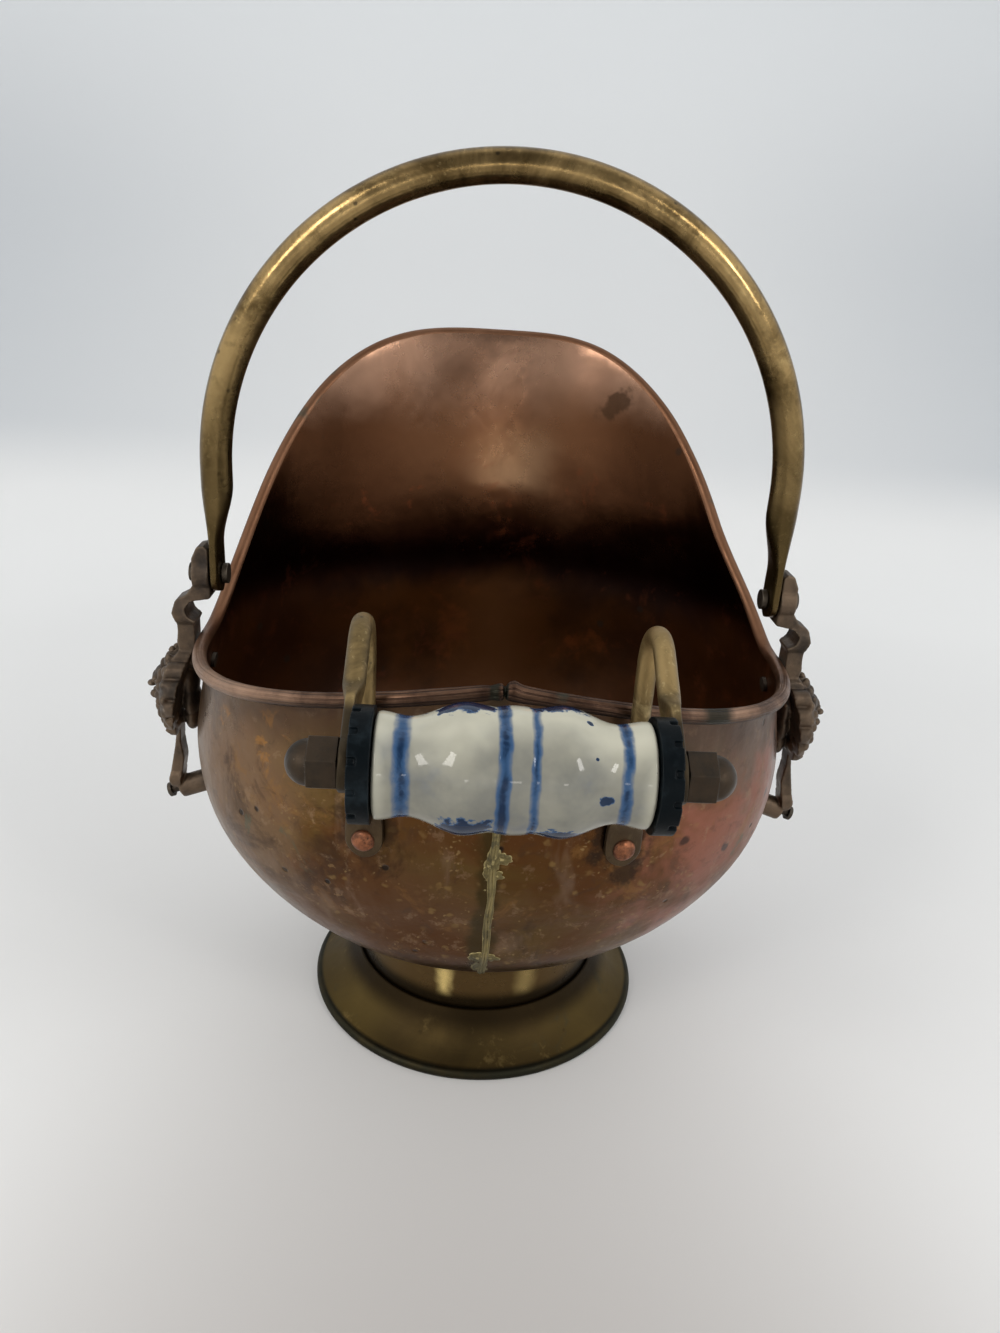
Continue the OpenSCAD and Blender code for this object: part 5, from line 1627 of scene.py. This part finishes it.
class SCUTTLE_OT_stage(bpy.types.Operator):
    """Sets the pale floor, the soft lights and the camera"""
    bl_idname = "scuttle.stage"
    bl_label = "Stage"

    def floor(self, s):
        f = Finish("pale_floor")
        x, y, z = f.xyz()
        color = f.blend(f.steps(f.noise(2.5, 2), 0.3, 0.7), s.floor,
                        tuple(0.97 * c for c in s.floor))
        # painted shadow: a dark patch on the floor in front of the scuttle
        ahead = x * x * 1.2 + (y + 0.22) ** 2.0
        color = f.blend(f.steps(f.sum("SQRT", ahead), 0.26, 0.06, 0.0, 0.75), color,
                        (0.42, 0.385, 0.36))
        # painted shadow: the floor greyer behind the camera, which the body reflects
        color = f.blend(f.steps(y, -0.2, -0.6, 0.0, 0.5), color, (0.36, 0.345, 0.33))
        color = f.blend(f.steps(z, 0.1, 0.7), color, (0.84, 0.86, 0.87))
        low_wall = f.steps(z, 0.01, 0.07) * f.steps(z, 0.65, 0.25, 0.3, 1.0)
        sides = f.steps(abs(x - 0.05), 0.15, 0.85, 0.4, 1.0)
        color = f.blend(low_wall * sides, color, (0.56, 0.585, 0.61))
        f.surface(color, 0.9)
        shader = f.tree.nodes["Principled BSDF"]
        shader.inputs["Emission Color"].default_value = (0.98, 1.0, 1.0, 1.0)
        # painted light: the floor and wall glow for camera and mirror rays, most at the back at
        # middle height
        camera = f.node("ShaderNodeLightPath", "Is Camera Ray")
        mirrored = f.sum("MAXIMUM", camera.beside("Is Glossy Ray"),
                         camera.beside("Is Transmission Ray"))
        seen = f.sum("MAXIMUM", camera, mirrored)
        painted_glow_band = f.steps(y, 0.1, 0.6) * f.steps(z, 1.1, 0.2)
        f.feed(shader.inputs["Emission Strength"], seen * (painted_glow_band * 0.1))
        points, steps = [], 24
        # the floor runs back, bends up with a radius of 0.9 and stands as a wall
        bends = [math.pi / 2 * k / steps for k in range(steps + 1)]
        sweep = [(0.55 + 0.9 * math.sin(b), 0.9 - 0.9 * math.cos(b)) for b in bends]
        outline = [(-1.4, 0.0), *sweep, (1.45, 3.0)]
        for x in (-3.0, 3.0):
            points += [(x, y, z) for y, z in outline]
        n = len(outline)
        faces = [(k, n + k, n + k + 1, k + 1) for k in range(n - 1)]
        ground = new_object("stage_floor", points, faces, (f.material,))

    def lamp(self, name, place, aim, size, power, tint):
        light = bpy.data.lights.new(name, "AREA")
        light.shape, light.size, light.size_y = "RECTANGLE", size[0], size[1]
        light.energy, light.color = power, tint
        lamp = bpy.data.objects.new(name, light)
        lamp.location = place
        lamp.rotation_mode = "QUATERNION"
        lamp.rotation_quaternion = (Vector(aim) - Vector(place)).to_track_quat("-Z", "Y")
        bpy.context.scene.collection.objects.link(lamp)

    def camera(self, s):
        azimuth, pitch, roll = (math.radians(v) for v in (3.0, 22.0, 3.7))
        level_part = math.cos(pitch)
        ahead = Vector((math.sin(azimuth) * level_part, math.cos(azimuth) * level_part,
                        -math.sin(pitch)))
        level = Vector((math.cos(azimuth), -math.sin(azimuth), 0))
        upright = level.cross(ahead)
        right = math.cos(roll) * level + math.sin(roll) * upright
        up = -math.sin(roll) * level + math.cos(roll) * upright
        seen = bpy.data.cameras.new("camera")
        seen.lens, seen.sensor_width, seen.clip_start = s.lens, 36.0, 0.01
        camera = bpy.data.objects.new("camera", seen)
        turn = Matrix((right, up, -ahead)).transposed().to_4x4()
        camera.matrix_world = Matrix.Translation((-0.0144, -0.3012, 0.262)) @ turn
        bpy.context.scene.collection.objects.link(camera)
        bpy.context.scene.camera = camera

    def world(self, s):
        """Even light from all round, weaker from above and behind the camera, where the room is
        dark. Past the ends of the wall the camera sees it in the wall's grey."""
        world = bpy.data.worlds.new("studio")
        bpy.context.scene.world = world
        world.use_nodes = True
        nodes, links = world.node_tree.nodes, world.node_tree.links
        place = nodes.new("ShaderNodeTexCoord")
        toward = nodes.new("ShaderNodeVectorMath")
        toward.operation = "DOT_PRODUCT"
        toward.inputs[1].default_value = (0.0, -0.66, 0.75)
        dim = nodes.new("ShaderNodeMapRange")
        dim.interpolation_type = "SMOOTHSTEP"
        for label, value in (("From Min", 0.6), ("From Max", 0.93), ("To Min", s.sky),
                             ("To Max", 0.3 * s.sky)):
            dim.inputs[label].default_value = value
        links.new(place.outputs["Generated"], toward.inputs[0])
        links.new(toward.outputs["Value"], dim.inputs["Value"])
        shade = nodes["Background"]
        shade.inputs["Color"].default_value = (0.97, 0.985, 1.0, 1.0)
        seen = nodes.new("ShaderNodeMix")
        links.new(nodes.new("ShaderNodeLightPath").outputs["Is Camera Ray"], seen.inputs[0])
        links.new(dim.outputs[0], seen.inputs[2])
        seen.inputs[3].default_value = 0.62
        links.new(seen.outputs[0], shade.inputs["Strength"])

    def execute(self, context):
        s = context.scene.scuttle_stage
        self.floor(s)
        self.world(s)
        # lamps: place, where they aim, size, power, tint
        for name, *values in (("left_window", (-0.62, -0.72, 0.75), (0, 0.0, 0.1), (0.22, 0.4),
                               s.window_power, (1.0, 0.97, 0.93)),
                              ("right_window", (0.64, -0.7, 0.72), (0, 0.0, 0.1), (0.16, 0.34),
                               0.7 * s.window_power, (1.0, 0.98, 0.95)),
                              ("low_lamp", (0.07, -1.5, 0.33), (0, 0.1, 0.19), (0.32, 0.08),
                               s.low_power, (1.0, 0.95, 0.88))):
            self.lamp(name, *values)
        self.camera(s)
        context.scene.view_settings.view_transform = "Standard"
        return {"FINISHED"}


STEPS = (SCUTTLE_OT_body, SCUTTLE_OT_braze, SCUTTLE_OT_foot, SCUTTLE_OT_bail, SCUTTLE_OT_ears,
         SCUTTLE_OT_arms, SCUTTLE_OT_grip, SCUTTLE_OT_fixings, SCUTTLE_OT_stage)
GROUPS = {"scuttle_body": ScuttleBodySizes, "scuttle_foot": ScuttleFootSizes,
          "scuttle_bail": ScuttleBailSizes, "scuttle_arms": ScuttleArmSizes,
          "scuttle_grip": ScuttleGripSizes, "scuttle_finish": ScuttleFinish,
          "scuttle_stage": ScuttleStage}


class SCUTTLE_PT_panel(bpy.types.Panel):
    """Lists the scuttle's sizes, finishes and steps"""
    bl_label = "Coal scuttle"
    bl_idname = "SCUTTLE_PT_panel"
    bl_space_type = "VIEW_3D"
    bl_region_type = "UI"
    bl_category = "Scuttle"

    def draw(self, context):
        for name in GROUPS:
            box = self.layout.box()
            box.label(text=name.replace("_", " ").capitalize())
            group = getattr(context.scene, name)
            for prop in group.__annotations__:
                box.prop(group, prop)
        for step in STEPS:
            self.layout.operator(step.bl_idname)


def register():
    for group in GROUPS.values():
        bpy.utils.register_class(group)
    for name, group in GROUPS.items():
        setattr(bpy.types.Scene, name, bpy.props.PointerProperty(type=group))
    for kind in (*STEPS, SCUTTLE_PT_panel):
        bpy.utils.register_class(kind)


def unregister():
    for kind in (SCUTTLE_PT_panel, *reversed(STEPS)):
        bpy.utils.unregister_class(kind)
    for name in GROUPS:
        delattr(bpy.types.Scene, name)
    for group in GROUPS.values():
        bpy.utils.unregister_class(group)


def main():
    register()
    bpy.ops.scuttle.body()
    bpy.ops.scuttle.braze()
    bpy.ops.scuttle.foot()
    bpy.ops.scuttle.bail()
    bpy.ops.scuttle.ears()
    bpy.ops.scuttle.arms()
    bpy.ops.scuttle.grip()
    bpy.ops.scuttle.fixings()
    bpy.ops.scuttle.stage()


if __name__ == "__main__":
    main()
